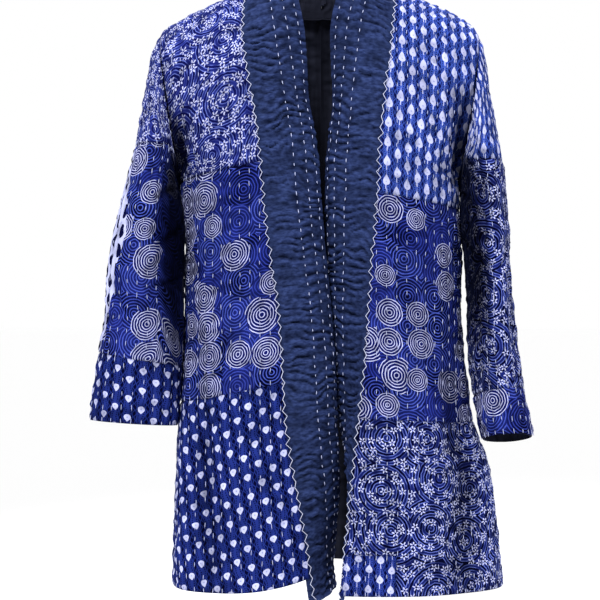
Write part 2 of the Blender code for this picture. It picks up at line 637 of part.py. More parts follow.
def quilted_wall(name, points, normals, colour, pulls, cells=None, plain_rows=0, plain_last=0):
    """Wall of quilted cloth: the cloth rises between its rows of stitches, which lie on every other column.

    plain_rows rows at the top and the last plain_last rows of the last channel have no rise.
    """
    rise = np.zeros(points.shape[:2])
    rise[1:-1, 1::2] = QUILT_HEIGHT
    rise[:plain_rows] = 0.0
    rise[:plain_last, -2] = 0.0
    outer = points + normals * rise[:, :, None]
    inner = (points - normals * WALL)[:, ::2].copy()
    for axis, end, amount in pulls:
        pull_back(outer, inner, axis, end, amount)
    marks = list(range(0, points.shape[1], 2))
    wall_object(name, outer, inner, marks, colour, cells)


def flatten(normals, part, axis):
    """Lay the directions along a straight seam in that seam's own plane."""
    normals[part][..., axis] = 0.0
    normals[part] = unit(normals[part])


def midpoints(lines):
    """Put every odd point of a line halfway between its neighbours."""
    lines[1:-1:2] = (lines[0:-2:2] + lines[2::2]) / 2


jacket = bpy.data.collections.new("kantha_jacket")
bpy.context.scene.collection.children.link(jacket)

# The armhole's seam leans halfway between the body's cloth and the sleeve's
armhole_rows = np.arange(ARMHOLE_ROWS + 1)
armhole_turn = armhole_rows / ARMHOLE_ROWS
armhole_normals = {}
for side in (-1, 1):
    for face in ("front", "back"):
        body_normals = body_grid(face, side, armhole_rows, np.array([ARMHOLE_BESIDE, 1.0]))[1][:, 1]
        sleeve_normals = sleeve_grid(side, face, [0.0], armhole_turn)[1][0]
        lean = unit(body_normals + sleeve_normals)
        lean[[0, -1], 1] = 0.0
        armhole_normals[face, side] = unit(lean)

# The band's sewing line along fronts and back; each half runs from the centre back to a front's hem
halves = {}
for side in (-1, 1):
    columns = panel_columns("back", side, 0, NECK_CHANNELS + 1)[: 2 * NECK_CHANNELS + 1]
    neck_points, neck_normals = body_grid("back", side, [0.0], columns)
    neck_normals[0, 0, 0] = 0.0
    rows = np.arange(ARMHOLE_ROWS + len(ROWS["front", side]))
    front_points, front_normals = body_grid("front", side, rows, np.array([0.0, 0.01]))
    way = unit(front_points[-1, 0] - front_points[-2, 0])
    band_end = front_points[-1, 0] + way * (front_points[-1, 0, 2] - BAND_HEM[side]) / -way[2]
    points = np.concatenate([neck_points[0, :-1], front_points[:, 0], [band_end]])
    normals = np.concatenate([unit(neck_normals[0, :-1]), front_normals[:, 0], front_normals[-1:, 0]])
    back_share = 1 - np.arange(CORNER) / CORNER
    turns = []
    for end, back_turn in (("start", TURN_START_BACK), ("end", TURN_END_BACK)):
        name = f"{SIDE_NAMES[side]}_{end}"
        down_front = smooth_value(BAND_TURN, BAND_TURN_COLUMNS, name, "z", points[CORNER:, 2])
        neck = down_front[0] + (back_turn - down_front[0]) * back_share
        turns.append(np.concatenate([neck, down_front]))
    halves[side] = (points, normals, *turns)

line_points, line_normals = (np.concatenate([halves[-1][i][::-1], halves[1][i][1:]]) for i in (0, 1))
line_way = unit(np.gradient(line_points, axis=0))
line_normals = unit(line_normals - line_way * np.sum(line_normals * line_way, axis=1)[:, None])
line_inward = np.cross(line_way, line_normals)
middle = len(halves[-1][0]) - 1
band_lines = {}
for side in (-1, 1):
    part_of_line = np.s_[middle::-1] if side == -1 else np.s_[middle:]
    points, _, start, end = halves[side]
    normals, inward = line_normals[part_of_line], line_inward[part_of_line]
    half_turn = (start / 2)[:, None]
    band_lines[side] = {
        "points": points,
        "normals": normals,
        "inward": inward,
        "start": start,
        "end": end,
        "miter": normals + inward * np.tan(half_turn),
        "across_seam": inward * np.cos(half_turn) - normals * np.sin(half_turn),
    }

# Body
for patch in lines(PATCHES, PATCH_COLUMNS):
    name, face, side, channels = (patch[key] for key in ("name", "face", "side", "channels"))
    first_row, last_row, colour = (patch[key] for key in ("first_row", "last_row", "colour"))
    rows = np.arange(first_row, last_row + 1)
    across = panel_columns(face, side, first_row, channels)
    points, normals = body_grid(face, side, rows, across)
    if face == "back":
        flatten(normals, np.s_[:, 0], 0)
    for index, row in enumerate(rows):
        if row < ARMHOLE_ROWS:
            normals[index, -1] = armhole_normals[face, side][row]
        else:
            flatten(normals, np.s_[index, -1], 1)
    if first_row == 0:
        corner = CORNER if face == "back" else 0
        flatten(normals, np.s_[0, corner:], 1)
    if face == "front":
        normals[:, 0] = band_lines[side]["miter"][CORNER + rows]
    elif first_row == 0:
        normals[0, : CORNER + 1] = band_lines[side]["miter"][: CORNER + 1]
    pulls = [(1, "last", SEAM_GAP / 2)]
    if face == "back":
        pulls.append((1, "first", SEAM_GAP / 2))
    elif first_row == 0:
        pulls.append((0, "first", SEAM_GAP))
    if first_row > 0:
        pulls.append((0, "first", SEAM_GAP / 2))
    if last_row < ARMHOLE_ROWS + len(ROWS[face, side]) - 1:
        pulls.append((0, "last", SEAM_GAP / 2))
    cells = None
    if name == CORNER_NEIGHBOUR:
        cells = np.ones((len(rows) - 1, channels), dtype=bool)
        cells[CORNER_ROW - first_row :, :CORNER_CHANNELS] = False
        corner_part = np.s_[CORNER_ROW - first_row :, : 2 * CORNER_CHANNELS + 1]
        corner_pulls = [(0, "first", SEAM_GAP), (1, "last", SEAM_GAP)]
        quilted_wall(CORNER_PATCH, points[corner_part], normals[corner_part], CORNER_COLOUR, corner_pulls)
    plain_last = max(0, ARMHOLE_ROWS + 2 - first_row)
    quilted_wall(name, points, normals, colour, pulls, cells, plain_last=plain_last)

# Sleeves
for side in (-1, 1):
    for level, rows in SLEEVE_ROWS[side].items():
        for half in ("front", "back"):
            turn = np.linspace(0.0, 1.0, 2 * ARMHOLE_ROWS + 1)
            points, normals = sleeve_grid(side, half, rows, turn)
            flatten(normals, np.s_[:, 0], 1)
            flatten(normals, np.s_[:, -1], 1)
            if level == "upper":
                normals[0, ::2] = armhole_normals[half, side]
                midpoints(normals[0])
                midpoints(points[0])
            pulls = [(1, "first", SEAM_GAP / 2), (1, "last", SEAM_GAP / 2), (0, "first", SEAM_GAP / 2)]
            if level != "cuff":
                pulls.append((0, "last", SEAM_GAP / 2))
            name = f"sleeve_{SIDE_NAMES[side]}_{level}_{half}"
            plain_rows = 2 if level == "upper" else 0
            quilted_wall(name, points, normals, SLEEVE_COLOURS[level, side], pulls, plain_rows=plain_rows)

# Band
for side in (-1, 1):
    hem = len(band_lines[side]["points"]) - 1
    band_wall(f"band_neck_{SIDE_NAMES[side]}", side, 0, CORNER, 2, at_hem=False)
    band_wall(f"band_front_{SIDE_NAMES[side]}", side, CORNER, hem, 1, at_hem=True)

print("faces", sum(len(piece.data.polygons) for piece in jacket.objects))
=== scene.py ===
import math

import bpy
import numpy as np
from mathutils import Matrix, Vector


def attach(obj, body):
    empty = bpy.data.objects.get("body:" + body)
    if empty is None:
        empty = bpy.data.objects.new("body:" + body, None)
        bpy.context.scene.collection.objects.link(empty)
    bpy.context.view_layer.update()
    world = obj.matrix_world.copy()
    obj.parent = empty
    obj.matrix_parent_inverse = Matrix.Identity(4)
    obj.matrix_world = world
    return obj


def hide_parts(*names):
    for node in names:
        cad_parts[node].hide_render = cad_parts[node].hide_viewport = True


# Kantha jacket: printed patches in indigo cotton, quilted by hand, with a puckered navy band
# "right" and "left" are the wearer's; side -1 is the right and side 1 the left

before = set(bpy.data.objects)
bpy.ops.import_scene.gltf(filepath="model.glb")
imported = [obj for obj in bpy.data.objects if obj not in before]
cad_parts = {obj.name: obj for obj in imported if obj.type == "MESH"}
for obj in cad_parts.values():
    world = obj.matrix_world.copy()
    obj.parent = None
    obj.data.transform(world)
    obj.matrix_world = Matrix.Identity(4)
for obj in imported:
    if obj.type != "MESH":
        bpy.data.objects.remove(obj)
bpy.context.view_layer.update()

sideNames = {-1: "right", 1: "left"}
dense = 481         # points on a curve before it is spaced evenly
edgeStep = 0.02     # steps for a surface's slope, in rows and in shares of its width
shareStep = 0.008


# shared helpers

def linear(code):
    parts = [int(code[i : i + 2], 16) / 255 for i in (1, 3, 5)]
    return (*[c / 12.92 if c <= 0.04045 else ((c + 0.055) / 1.055) ** 2.4 for c in parts], 1.0)


def add(tree, kind, inputs=None, out=0, **settings):
    node = tree.nodes.new(kind)
    for name, value in settings.items():
        setattr(node, name, value)
    for key, value in (inputs or {}).items():
        if isinstance(value, bpy.types.NodeSocket):
            tree.links.new(value, node.inputs[key])
        else:
            node.inputs[key].default_value = value
    return node.outputs[out] if node.outputs else None


def worked(tree, kind, value, *steps):       # a value taken through one operation after another
    for operation, *others in steps:
        value = add(tree, kind, dict(enumerate((value, *others))), operation=operation)
    return value


def roughness(u, v, seed):     # smooth random values from -1 to 1, one lattice step apart
    wide, high = 97, 89        # steps after which the values come again
    table = np.random.default_rng(seed).uniform(-1, 1, (wide, high))
    i, j = np.floor(u).astype(int), np.floor(v).astype(int)
    s, t = u - i, v - j
    s, t = s * s * (3 - 2 * s), t * t * (3 - 2 * t)
    near, far = (
        table[k % wide, j % high] * (1 - t) + table[k % wide, (j + 1) % high] * t
        for k in (i, i + 1)
    )
    return near * (1 - s) + far * s


def ramp(values, start, over):       # 0 before the start, 1 after the stretch that follows it
    return np.clip((values - start) / over, 0, 1)


def fade(values, middle, reach, power=2):       # 1 at the middle, falling to 0 on both sides
    return np.exp(-(((values - middle) / reach) ** power))


def unit(vectors):
    return vectors / np.linalg.norm(vectors, axis=-1, keepdims=True)


def lengths(points):       # distance run along a line of points
    return np.concatenate([[0.0], np.cumsum(np.linalg.norm(np.diff(points, axis=0), axis=1))])


def arcs(points, axis):       # distance along the cloth
    steps = np.linalg.norm(np.diff(points, axis=axis), axis=2)
    return np.cumsum(np.insert(steps, 0, 0, axis=axis), axis=axis)


def eased(t, step, low, high, lowSlope, highSlope):       # smoothly from one station to the next
    return (
        (2 * t**3 - 3 * t**2 + 1) * low
        + (t**3 - 2 * t**2 + t) * step * lowSlope
        + (3 * t**2 - 2 * t**3) * high
        + (t**3 - t**2) * step * highSlope
    )


def placed(name, data):
    piece = bpy.data.objects.new(name, data)
    bpy.context.scene.collection.objects.link(piece)
    return piece


# cloth

cloth = {
    "cell": 0.0034,             # mesh cell
    "wall": 0.0023,
    "quilt": 0.0018,            # rise between two rows of stitches
    "quiltUneven": (0.018, 0.03),      # size of its higher and lower stretches
    "quiltBluntness": 0.8,
    "crumple": 0.0021,          # height of the crumples between the stitches
    "crumples": (0.017, 0.0080),       # their sizes across and along
    "crumpleAreas": (0.05, 0.06),
    "fineCrumples": (0.0075, 0.0060),
    "groove": 0.0009,           # depth of a seam between two patches
    "grooveWidth": 0.0016,
    "edge": 0.006,              # cloth pressed flat beside a seam
    "sharpAngle": 60,           # degrees; flatter edges look smooth
    "paintedShade": 0.50,             # painted shade that level cloth gets: 0 on a ridge and 1 in a crease
    "paintedShadeRelief": 0.0030,     # a rise of this much takes 1 off the painted shade
    "paintedShadeFold": 0.0060,
    "mostPaintedShade": 1.4,
    "stitchPitch": 0.0142,      # between two rows of running stitches
    "stitchLift": 0.0004,
    "stitchMargin": 0.005,      # rows end this far from a seam
    "stitchCorner": 0.004,
    "stitchShadeLimit": 1.25,       # none show where the painted shade is deeper than this
    "shortestRow": 5,           # in mesh cells
    "firstCells": (1, 4),       # a row starts this many mesh cells below the seam
}
cuts = []            # flat sizes of the sheets
runningRows = []     # points and outward directions of each row of running stitches


def clothObject(name, outer, normals, uv, paintedShade, outside, inside, kept=None):
    rows, columns = outer.shape[:2]
    inner = outer - normals * cloth["wall"]
    index = np.arange(rows * columns).reshape(rows, columns)
    kept = np.ones((rows - 1, columns - 1), dtype=bool) if kept is None else kept
    corners = np.stack([index[:-1, :-1], index[:-1, 1:], index[1:, 1:], index[1:, :-1]], axis=-1)
    quads = corners[kept]
    framed = np.pad(kept, 1)
    beyond = (framed[:-2, 1:-1], framed[1:-1, 2:], framed[2:, 1:-1], framed[1:-1, :-2])
    rims = []
    for side, neighbour in enumerate(beyond):       # a wall wherever the cloth ends
        near, far = (corners[kept & ~neighbour][:, (side + end) % 4] for end in (0, 1))
        rims.append(np.stack([near, near + index.size, far + index.size, far], axis=-1))
    faces = np.concatenate([quads, quads[:, ::-1] + index.size, *rims])
    facing = np.cross(outer[1, -2] - outer[1, -3], outer[2, -3] - outer[1, -3]) @ normals[1, -3]
    if facing < 0:
        faces = faces[:, ::-1]
    used, faces = np.unique(faces, return_inverse=True)
    faces = faces.reshape(-1, 4)
    points = np.concatenate([outer.reshape(-1, 3), inner.reshape(-1, 3)])[used]
    mesh = bpy.data.meshes.new(name)
    mesh.from_pydata(points.tolist(), [], faces.tolist())
    flat = np.concatenate([uv.reshape(-1, 2)] * 2)[used]
    layer = mesh.uv_layers.new(name="cloth")
    layer.data.foreach_set("uv", flat[faces.ravel()].ravel())
    # painted shade on the outer points; the inner side gets none
    shade = mesh.attributes.new("paintedShade", "FLOAT", "POINT")
    shade.data.foreach_set("value", np.concatenate([paintedShade.ravel(), np.zeros(index.size)])[used])
    slots = np.ones(len(faces), dtype=np.int32)
    slots[: len(quads)] = 0
    mesh.materials.append(outside)
    mesh.materials.append(inside)
    mesh.polygons.foreach_set("material_index", slots)
    mesh.shade_smooth()
    mesh.set_sharp_from_angle(angle=math.radians(cloth["sharpAngle"]))
    mesh.update()
    return placed(name, mesh)


def declare(piece, node, flat, area):
    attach(piece, "root")
    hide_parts(node)
    cuts.append((piece.name, round(flat[0], 3), round(flat[1], 3), round(area, 4)))


def patchRelief(u, v, seed, edges):
    names = ("quiltUneven", "crumples", "crumpleAreas", "fineCrumples")
    swell, coarse, areas, fine = (
        roughness(u / cloth[name][0], v / cloth[name][1], seed + number)
        for number, name in enumerate(names)
    )
    channels = np.abs(np.sin(np.pi * u / cloth["stitchPitch"])) ** cloth["quiltBluntness"]
    rise = cloth["quilt"] * (0.7 + 0.4 * swell) * channels
    rise += cloth["crumple"] * (coarse * (0.6 + 0.4 * areas) + 0.4 * fine)
    close = np.minimum.reduce(edges)
    return rise * ramp(close, 0, cloth["edge"]) - cloth["groove"] * fade(close, 0, cloth["grooveWidth"])


def stitchRows(u, outer, normals, paintedShade, rng, cut):       # straight rows down the cloth, up to the seams
    pitch, margin = cloth["stitchPitch"], cloth["stitchMargin"]
    for number in range(int(np.min(u) / pitch), int(np.max(u) / pitch) + 1):
        place = number * pitch
        last = len(u) - 1
        if cut and place < u[cut] + cloth["stitchCorner"]:
            last = cut[0]
        run = []
        for row in range(int(rng.integers(*cloth["firstCells"])), len(u)):
            seen = u[row, 0] + margin < place < u[row, -1] - margin and row < last
            if seen and np.interp(place, u[row], paintedShade[row]) < cloth["stitchShadeLimit"]:
                spot = np.array([np.interp(place, u[row], outer[row, :, i]) for i in range(3)])
                normal = np.array([np.interp(place, u[row], normals[row, :, i]) for i in range(3)])
                run.append((spot + normal * cloth["stitchLift"], normal))
            else:
                if len(run) >= cloth["shortestRow"]:
                    runningRows.append(tuple(np.array(part) for part in zip(*run)))
                run = []


def patch(name, node, points, normals, fold, under, seed, style, even="top", cut=None):
    u, v = arcs(points, 1), arcs(points, 0)
    width, length = float(np.max(u[:, -1])), float(np.max(v[-1]))
    edges = [u, u[:, -1:] - u, v, v[-1:] - v]
    kept = None
    if cut:        # a corner left out for another patch, from this row down and up to this column
        row, column = cut
        kept = np.ones((len(points) - 1, points.shape[1] - 1), dtype=bool)
        kept[row:, :column] = False
        edges.append(np.hypot(np.maximum(u - u[:, column : column + 1], 0), np.maximum(v[row] - v, 0)))
    if "sleeve" not in node:        # the grain runs straight down
        u = u + np.abs(points[:, :1, 0])
    if even == "bottom":            # the print is even along the lower seam
        v = v - v[-1:] + length
    relief = patchRelief(u, v, seed, edges)
    outer = points + normals * relief[:, :, None]
    # painted shade: darker where the cloth sinks between the stitches and in the folds, plus the painted
    # shade under the arms
    paintedShade = cloth["paintedShade"] - relief / cloth["paintedShadeRelief"] - fold / cloth["paintedShadeFold"]
    paintedShade = np.clip(paintedShade, 0, cloth["mostPaintedShade"]) + under
    down, across = np.diff(points[:, :-1], axis=0), np.diff(points[:-1], axis=1)
    area = float(np.sum(np.linalg.norm(np.cross(down, across), axis=2)))
    printName, flip, turn, shift = style
    x, y = u + shift[0], (v if flip else -v) + shift[1]
    uv = np.stack([x * math.cos(turn) - y * math.sin(turn), x * math.sin(turn) + y * math.cos(turn)], axis=2)
    piece = clothObject(name, outer, normals, uv, paintedShade, prints[printName], blackLiningWithPaintedShade, kept)
    declare(piece, node, (width, length), area)
    stitchRows(u, outer, normals, paintedShade, np.random.default_rng(seed), cut)


# finishes: cloth coordinates are metres on the flat cloth

maths, vectorMaths = "ShaderNodeMath", "ShaderNodeVectorMath"

inks = {
    "navy": "#04062E",
    "deepNavy": "#030424",
    "midBlue": "#26367C",
    "paleBlue": "#5866B2",
    "white": "#B0B4DA",
}
cotton = {
    "specular": 0.01,           # washed cotton hardly shines, and what sheen it has is blue
    "sheenTint": "#6474C0",
    "wobble": 0.0016,           # m that a printed edge wanders, as hand printing does
    "wobbleScale": 140.0,
    "wearScale": 26.0,          # blotches of about 40 mm where washing took some ink off
    "wear": (0.84, 1.14),
    "weaveScale": 900.0,        # about 1 mm: real threads are finer, but wouldn't show
    "plainWeaveScale": 1100.0,
    "weaveDepth": 0.0004,
    "printShadeFactor": 0.42,        # share of its colour that cloth keeps at a painted shade of 1, as in a crease
    "plainShadeFactor": 0.32,
}


def newMaterial(name, rough, sheen):
    material = bpy.data.materials.new(name)
    material.use_nodes = True
    tree = material.node_tree
    shader = tree.nodes["Principled BSDF"]
    shader.inputs["Roughness"].default_value = rough
    shader.inputs["Sheen Weight"].default_value = sheen
    shader.inputs["Sheen Tint"].default_value = linear(cotton["sheenTint"])
    shader.inputs["Specular IOR Level"].default_value = cotton["specular"]
    return material, tree, shader


def inked(tree, base, *layers):       # inks printed one over another, each with its share
    base = linear(base) if isinstance(base, str) else base
    for share, ink in layers:
        ink = linear(ink) if isinstance(ink, str) else ink
        base = add(tree, "ShaderNodeMix", {0: share, 6: base, 7: ink}, out=2, data_type="RGBA")
    return base


def blotches(tree, place, scale, detail, low, high):       # low and high: a value of the noise, and its share
    noise = {"Vector": place, "Scale": scale, "Detail": detail}
    noise = add(tree, "ShaderNodeTexNoise", noise, noise_dimensions="2D")
    return add(tree, "ShaderNodeMapRange", {0: noise, 1: low[0], 2: high[0], 3: low[1], 4: high[1]})


def motifs(tree, place, pitch, uneven):       # distance from the nearest motif, its place and its own dice
    spots = {"Vector": place, "Scale": 1 / pitch, "Randomness": uneven}
    spots = add(tree, "ShaderNodeTexVoronoi", spots, voronoi_dimensions="2D").node.outputs
    dice = add(tree, "ShaderNodeSeparateColor", {0: spots["Color"]}).node.outputs
    return spots["Distance"], spots["Position"], dice


def clothPlace(tree):      # place on the cloth, a little unsteady as block prints are
    place = add(tree, "ShaderNodeUVMap", uv_map="cloth")
    noise = {"Vector": place, "Scale": cotton["wobbleScale"], "Detail": 1.0}
    noise = add(tree, "ShaderNodeTexNoise", noise, out=1, noise_dimensions="2D")
    moved = add(tree, vectorMaths, {0: noise, 1: (0.5, 0.5, 0.5)}, operation="SUBTRACT")
    moved = add(tree, vectorMaths, {0: moved, "Scale": cotton["wobble"]}, operation="SCALE")
    return add(tree, vectorMaths, {0: place, 1: moved}, operation="ADD")


def woven(tree, shader, place, scale, strength):       # the threads of the cloth, raised a little
    weave = {"Vector": place, "Scale": scale, "Detail": 2.0}
    weave = add(tree, "ShaderNodeTexNoise", weave, noise_dimensions="2D")
    bump = {"Strength": strength, "Distance": cotton["weaveDepth"], "Height": weave}
    tree.links.new(add(tree, "ShaderNodeBump", bump), shader.inputs["Normal"])


def paintShade(tree, shader, colour, least):       # painted shade: the colour is darkened in the creases and under the arms, where shade falls
    paintedShade = add(tree, "ShaderNodeAttribute", attribute_name="paintedShade", attribute_type="GEOMETRY", out=2)
    shade = add(tree, maths, {0: least, 1: paintedShade}, operation="POWER")
    colour = add(tree, vectorMaths, {0: colour, "Scale": shade}, operation="SCALE")
    tree.links.new(colour, shader.inputs["Base Color"])


def printedCotton(name, draw, *colours):
    material, tree, shader = newMaterial(name, rough=0.85, sheen=0.02)
    place, (worn, fresh) = clothPlace(tree), cotton["wear"]
    wear = blotches(tree, place, scale=cotton["wearScale"], detail=4.0, low=(0.3, worn), high=(0.7, fresh))
    colour = add(tree, vectorMaths, {0: draw(tree, place, *colours), "Scale": wear}, operation="SCALE")
    paintShade(tree, shader, colour, cotton["printShadeFactor"])
    woven(tree, shader, place, scale=cotton["weaveScale"], strength=0.35)
    return material


def plainCotton(name, colours, rough, scale, stretch):       # slubs drawn out along one thread
    material, tree, shader = newMaterial(name, rough, sheen=0.05)
    place = add(tree, "ShaderNodeUVMap", uv_map="cloth")
    drawn = add(tree, vectorMaths, {0: place, 1: stretch}, operation="MULTIPLY")
    slub = blotches(tree, drawn, scale, detail=4.0, low=(0.3, 0.0), high=(0.7, 1.0))
    paintShade(tree, shader, inked(tree, colours[0], (slub, colours[1])), cotton["plainShadeFactor"])
    woven(tree, shader, place, scale=cotton["plainWeaveScale"], strength=0.4)
    return material


rings = {
    "uneven": 0.45,                  # how far rings stray from an even net
    "bluePitch": 0.044,              # m from ring to ring
    "blueStep": 0.0041,              # m from line to line, drawn as coarse as it needs to show
    "blueGap": 0.68,                 # share of a step without ink
    "blueShift": (0.013, 0.021, 0.0),
    "blues": ("#232F84", "#4252AC"),
    "filled": "#182064",
    "whitePitch": 0.0435,
    "whiteShare": 0.42,              # share of the rings without white lines
    "whiteRadius": (0.0140, 0.0135),       # smallest, and how much larger some are
    "whiteLines": (4.7, 2.2),        # rounded: five to seven in each ring
    "whiteGap": 0.72,
    "underWhite": "#0E1450",
}


def ringPrint(tree, place, low, high):       # blue rings side by side, with white ones printed over them
    soft = blotches(tree, place, scale=22.0, detail=2.0, low=(0.35, 0.0), high=(0.65, 1.0))
    apart = add(tree, vectorMaths, {0: place, 1: rings["blueShift"]}, operation="ADD")
    away, _, dice = motifs(tree, apart, rings["bluePitch"], rings["uneven"])
    filled = worked(tree, maths, dice[0], ("GREATER_THAN", 0.5), ("MULTIPLY", 0.5))
    blue = inked(tree, rings["blues"][0], (dice[1], rings["blues"][1]))
    turns = rings["bluePitch"] / rings["blueStep"]
    line = worked(tree, maths, away, ("MULTIPLY", turns), ("FRACT",), ("GREATER_THAN", rings["blueGap"]))
    base = inked(tree, low, (soft, high), (filled, rings["filled"]), (line, blue))
    away, _, dice = motifs(tree, place, rings["whitePitch"], rings["uneven"])
    least, more = (size / rings["whitePitch"] for size in rings["whiteRadius"])
    radius = add(tree, maths, {0: dice[0], 1: more, 2: least}, operation="MULTIPLY_ADD")
    inside = add(tree, maths, {0: away, 1: radius}, operation="LESS_THAN")
    fewest, others = rings["whiteLines"]
    count = worked(tree, maths, dice[0], ("MULTIPLY_ADD", others, fewest), ("ROUND",))
    line = worked(tree, maths, away, ("DIVIDE", radius), ("MULTIPLY", count), ("FRACT",))
    line = add(tree, maths, {0: line, 1: rings["whiteGap"]}, operation="GREATER_THAN")
    bright = worked(tree, maths, dice[1], ("GREATER_THAN", rings["whiteShare"]), ("MULTIPLY", inside))
    line = add(tree, maths, {0: line, 1: bright}, operation="MULTIPLY")
    return inked(tree, base, (bright, rings["underWhite"]), (line, inks["white"]))


drops = {
    "along": 0.0262,            # m from drop to drop down a column
    "half": 0.0046,             # half a drop's width
    "swell": 2.6,               # brings its rounded outline to that width
    "stem": (0.5, 0.96),        # thin line above each drop, and the eye in it, as shares of "along"
    "eyeHeight": 0.40,
    "eye": 0.0010,              # radius in m, drawn as coarse as it needs to show
    "eyeShare": 0.45,
    "swayLength": 0.021,        # m from bend to bend of a stripe, with the next ones as shares of its width
    "sway": 0.06,
    "stripe": 0.30,
    "stripeShare": 0.85,
    "dots": (0.17, 0.045),      # place and reach of the rows of dots
    "dotPitch": 0.0030,
    "dotShare": 0.55,
    "leafPitch": 0.0046,        # leaves between the columns
    "leaf": (0.14, 0.32, 0.040),
    "leafShare": 0.8,
}


def dropPrint(tree, place, low, high, across, stem, ends):       # white drops in columns over swaying stripes
    along, middle = drops["along"], 0.5
    xy = add(tree, "ShaderNodeSeparateXYZ", {0: place}).node.outputs
    x = add(tree, maths, {0: xy[0], 1: 1 / across}, operation="MULTIPLY")
    odd = worked(tree, maths, x, ("FLOOR",), ("FLOORED_MODULO", 2.0))
    y = add(tree, maths, {0: xy[1], 1: 1 / along}, operation="MULTIPLY")
    y = worked(tree, maths, odd, ("MULTIPLY_ADD", 0.5, y), ("FRACT",))
    x0 = worked(tree, maths, x, ("FRACT",), ("SUBTRACT", middle))
    aside = add(tree, maths, {0: x0}, operation="ABSOLUTE")
    up = add(tree, "ShaderNodeMapRange", {0: y, 1: ends[0], 2: ends[1], 3: 0.0, 4: 1.0})
    root = add(tree, maths, {0: up, 1: 0.5}, operation="POWER")
    taper = add(tree, maths, {0: 1.0, 1: up}, operation="SUBTRACT")
    widest = drops["swell"] * drops["half"] / across
    width = worked(tree, maths, root, ("MULTIPLY", taper), ("MULTIPLY", widest))
    stem = {0: y, 1: drops["stem"][0], 2: drops["stem"][1], 3: stem / across, 4: 0.0}
    width = add(tree, maths, {0: width, 1: add(tree, "ShaderNodeMapRange", stem)}, operation="MAXIMUM")
    drop = add(tree, maths, {0: aside, 1: width}, operation="LESS_THAN")
    fromEye = add(tree, maths, {0: y, 1: drops["eyeHeight"]}, operation="SUBTRACT")
    eye = add(tree, "ShaderNodeCombineXYZ", {0: x0, 1: fromEye})
    eye = add(tree, vectorMaths, {0: eye, 1: (across, along, 0.0)}, operation="MULTIPLY")
    eye = add(tree, vectorMaths, {0: eye}, out=1, operation="LENGTH")
    eye = worked(tree, maths, eye, ("LESS_THAN", drops["eye"]), ("MULTIPLY", drops["eyeShare"]))
    sway = worked(tree, maths, xy[1], ("MULTIPLY", 2 * math.pi / drops["swayLength"]), ("SINE",))
    swayed = worked(tree, maths, sway, ("MULTIPLY_ADD", drops["sway"], x), ("FRACT",))
    swayed = worked(tree, maths, swayed, ("SUBTRACT", middle), ("ABSOLUTE",))
    stripe = worked(tree, maths, swayed, ("LESS_THAN", drops["stripe"]), ("MULTIPLY", drops["stripeShare"]))
    near = add(tree, maths, {0: swayed, 1: drops["dots"][0], 2: drops["dots"][1]}, operation="COMPARE")
    dots = worked(tree, maths, xy[1], ("MULTIPLY", 1 / drops["dotPitch"]), ("FRACT",))
    dots = worked(tree, maths, dots, ("LESS_THAN", drops["dotShare"]), ("MULTIPLY", near))
    swell, leafPlace, reach = drops["leaf"]
    leaf = add(tree, maths, {0: xy[1], 1: drops["leafPitch"]}, operation="PINGPONG")
    leaf = worked(tree, maths, leaf, ("MULTIPLY_ADD", swell / drops["leafPitch"], leafPlace))
    leaf = worked(tree, maths, swayed, ("COMPARE", leaf, reach), ("MULTIPLY", drops["leafShare"]))
    base = inked(tree, low, (stripe, high), (leaf, high), (dots, inks["navy"]))
    return inked(tree, base, (drop, inks["white"]), (eye, inks["midBlue"]))


flowers = {
    "uneven": 0.7,
    "petals": 5,
    "turn": 6.28,               # radians that a flower may be turned
    "petalGap": 0.45,           # share of a petal's arc that stays ground
    "open": 0.0014,             # m of ground in a flower's middle
    "arcCentres": 0.070,        # m between the middles of the arcs
    "arcStep": 0.0078,          # m from one arc to the next
    "arcUneven": 0.45,
    "wash": 0.62,               # share of a step that is washed with blue
    "paleEdge": 0.13,           # of the pale line on both sides of each wash
}


def flowerPrint(tree, place, low, high, pitch, petal):       # small white flowers over washed arcs
    centres = {"Vector": place, "Scale": 1 / flowers["arcCentres"], "Randomness": flowers["arcUneven"]}
    away = add(tree, "ShaderNodeTexVoronoi", centres, voronoi_dimensions="2D")
    step = worked(tree, maths, away, ("MULTIPLY", flowers["arcCentres"] / flowers["arcStep"]), ("FRACT",))
    soft = blotches(tree, place, scale=20.0, detail=3.0, low=(0.4, 0.35), high=(0.62, 1.0))
    wash = worked(tree, maths, step, ("LESS_THAN", flowers["wash"]), ("MULTIPLY", soft))
    broken = blotches(tree, place, scale=60.0, detail=1.0, low=(0.35, 0.15), high=(0.55, 1.0))
    arc = worked(tree, maths, step, ("MODULO", 0.5), ("LESS_THAN", flowers["paleEdge"]), ("MULTIPLY", broken))
    _, middle, dice = motifs(tree, place, pitch, flowers["uneven"])
    fromMiddle = add(tree, vectorMaths, {0: place, 1: middle}, operation="SUBTRACT")
    xy = add(tree, "ShaderNodeSeparateXYZ", {0: fromMiddle}).node.outputs
    angle = worked(tree, maths, xy[1], ("ARCTAN2", xy[0]), ("MULTIPLY", flowers["petals"] / 2))
    wave = worked(tree, maths, dice[0], ("MULTIPLY_ADD", flowers["turn"], angle), ("COSINE",), ("ABSOLUTE",))
    size = add(tree, "ShaderNodeMapRange", {0: wave, 1: flowers["petalGap"], 2: 1.0, 3: 0.0, 4: petal})
    far = add(tree, vectorMaths, {0: fromMiddle}, out=1, operation="LENGTH")
    ringed = add(tree, maths, {0: far, 1: flowers["open"]}, operation="GREATER_THAN")
    flower = worked(tree, maths, far, ("LESS_THAN", size), ("MULTIPLY", ringed))
    return inked(tree, low, (wash, high), (arc, inks["paleBlue"]), (flower, inks["white"]))


ovals = {
    "pitch": (0.020, 0.027),     # m from oval to oval, across and along
    "half": (0.0058, 0.0100),    # m from an oval's middle to its edge
    "wrapMiddle": -0.125,        # where the white patch from behind comes furthest round the sleeve
    "wrap": (-0.26, 0.062),
}


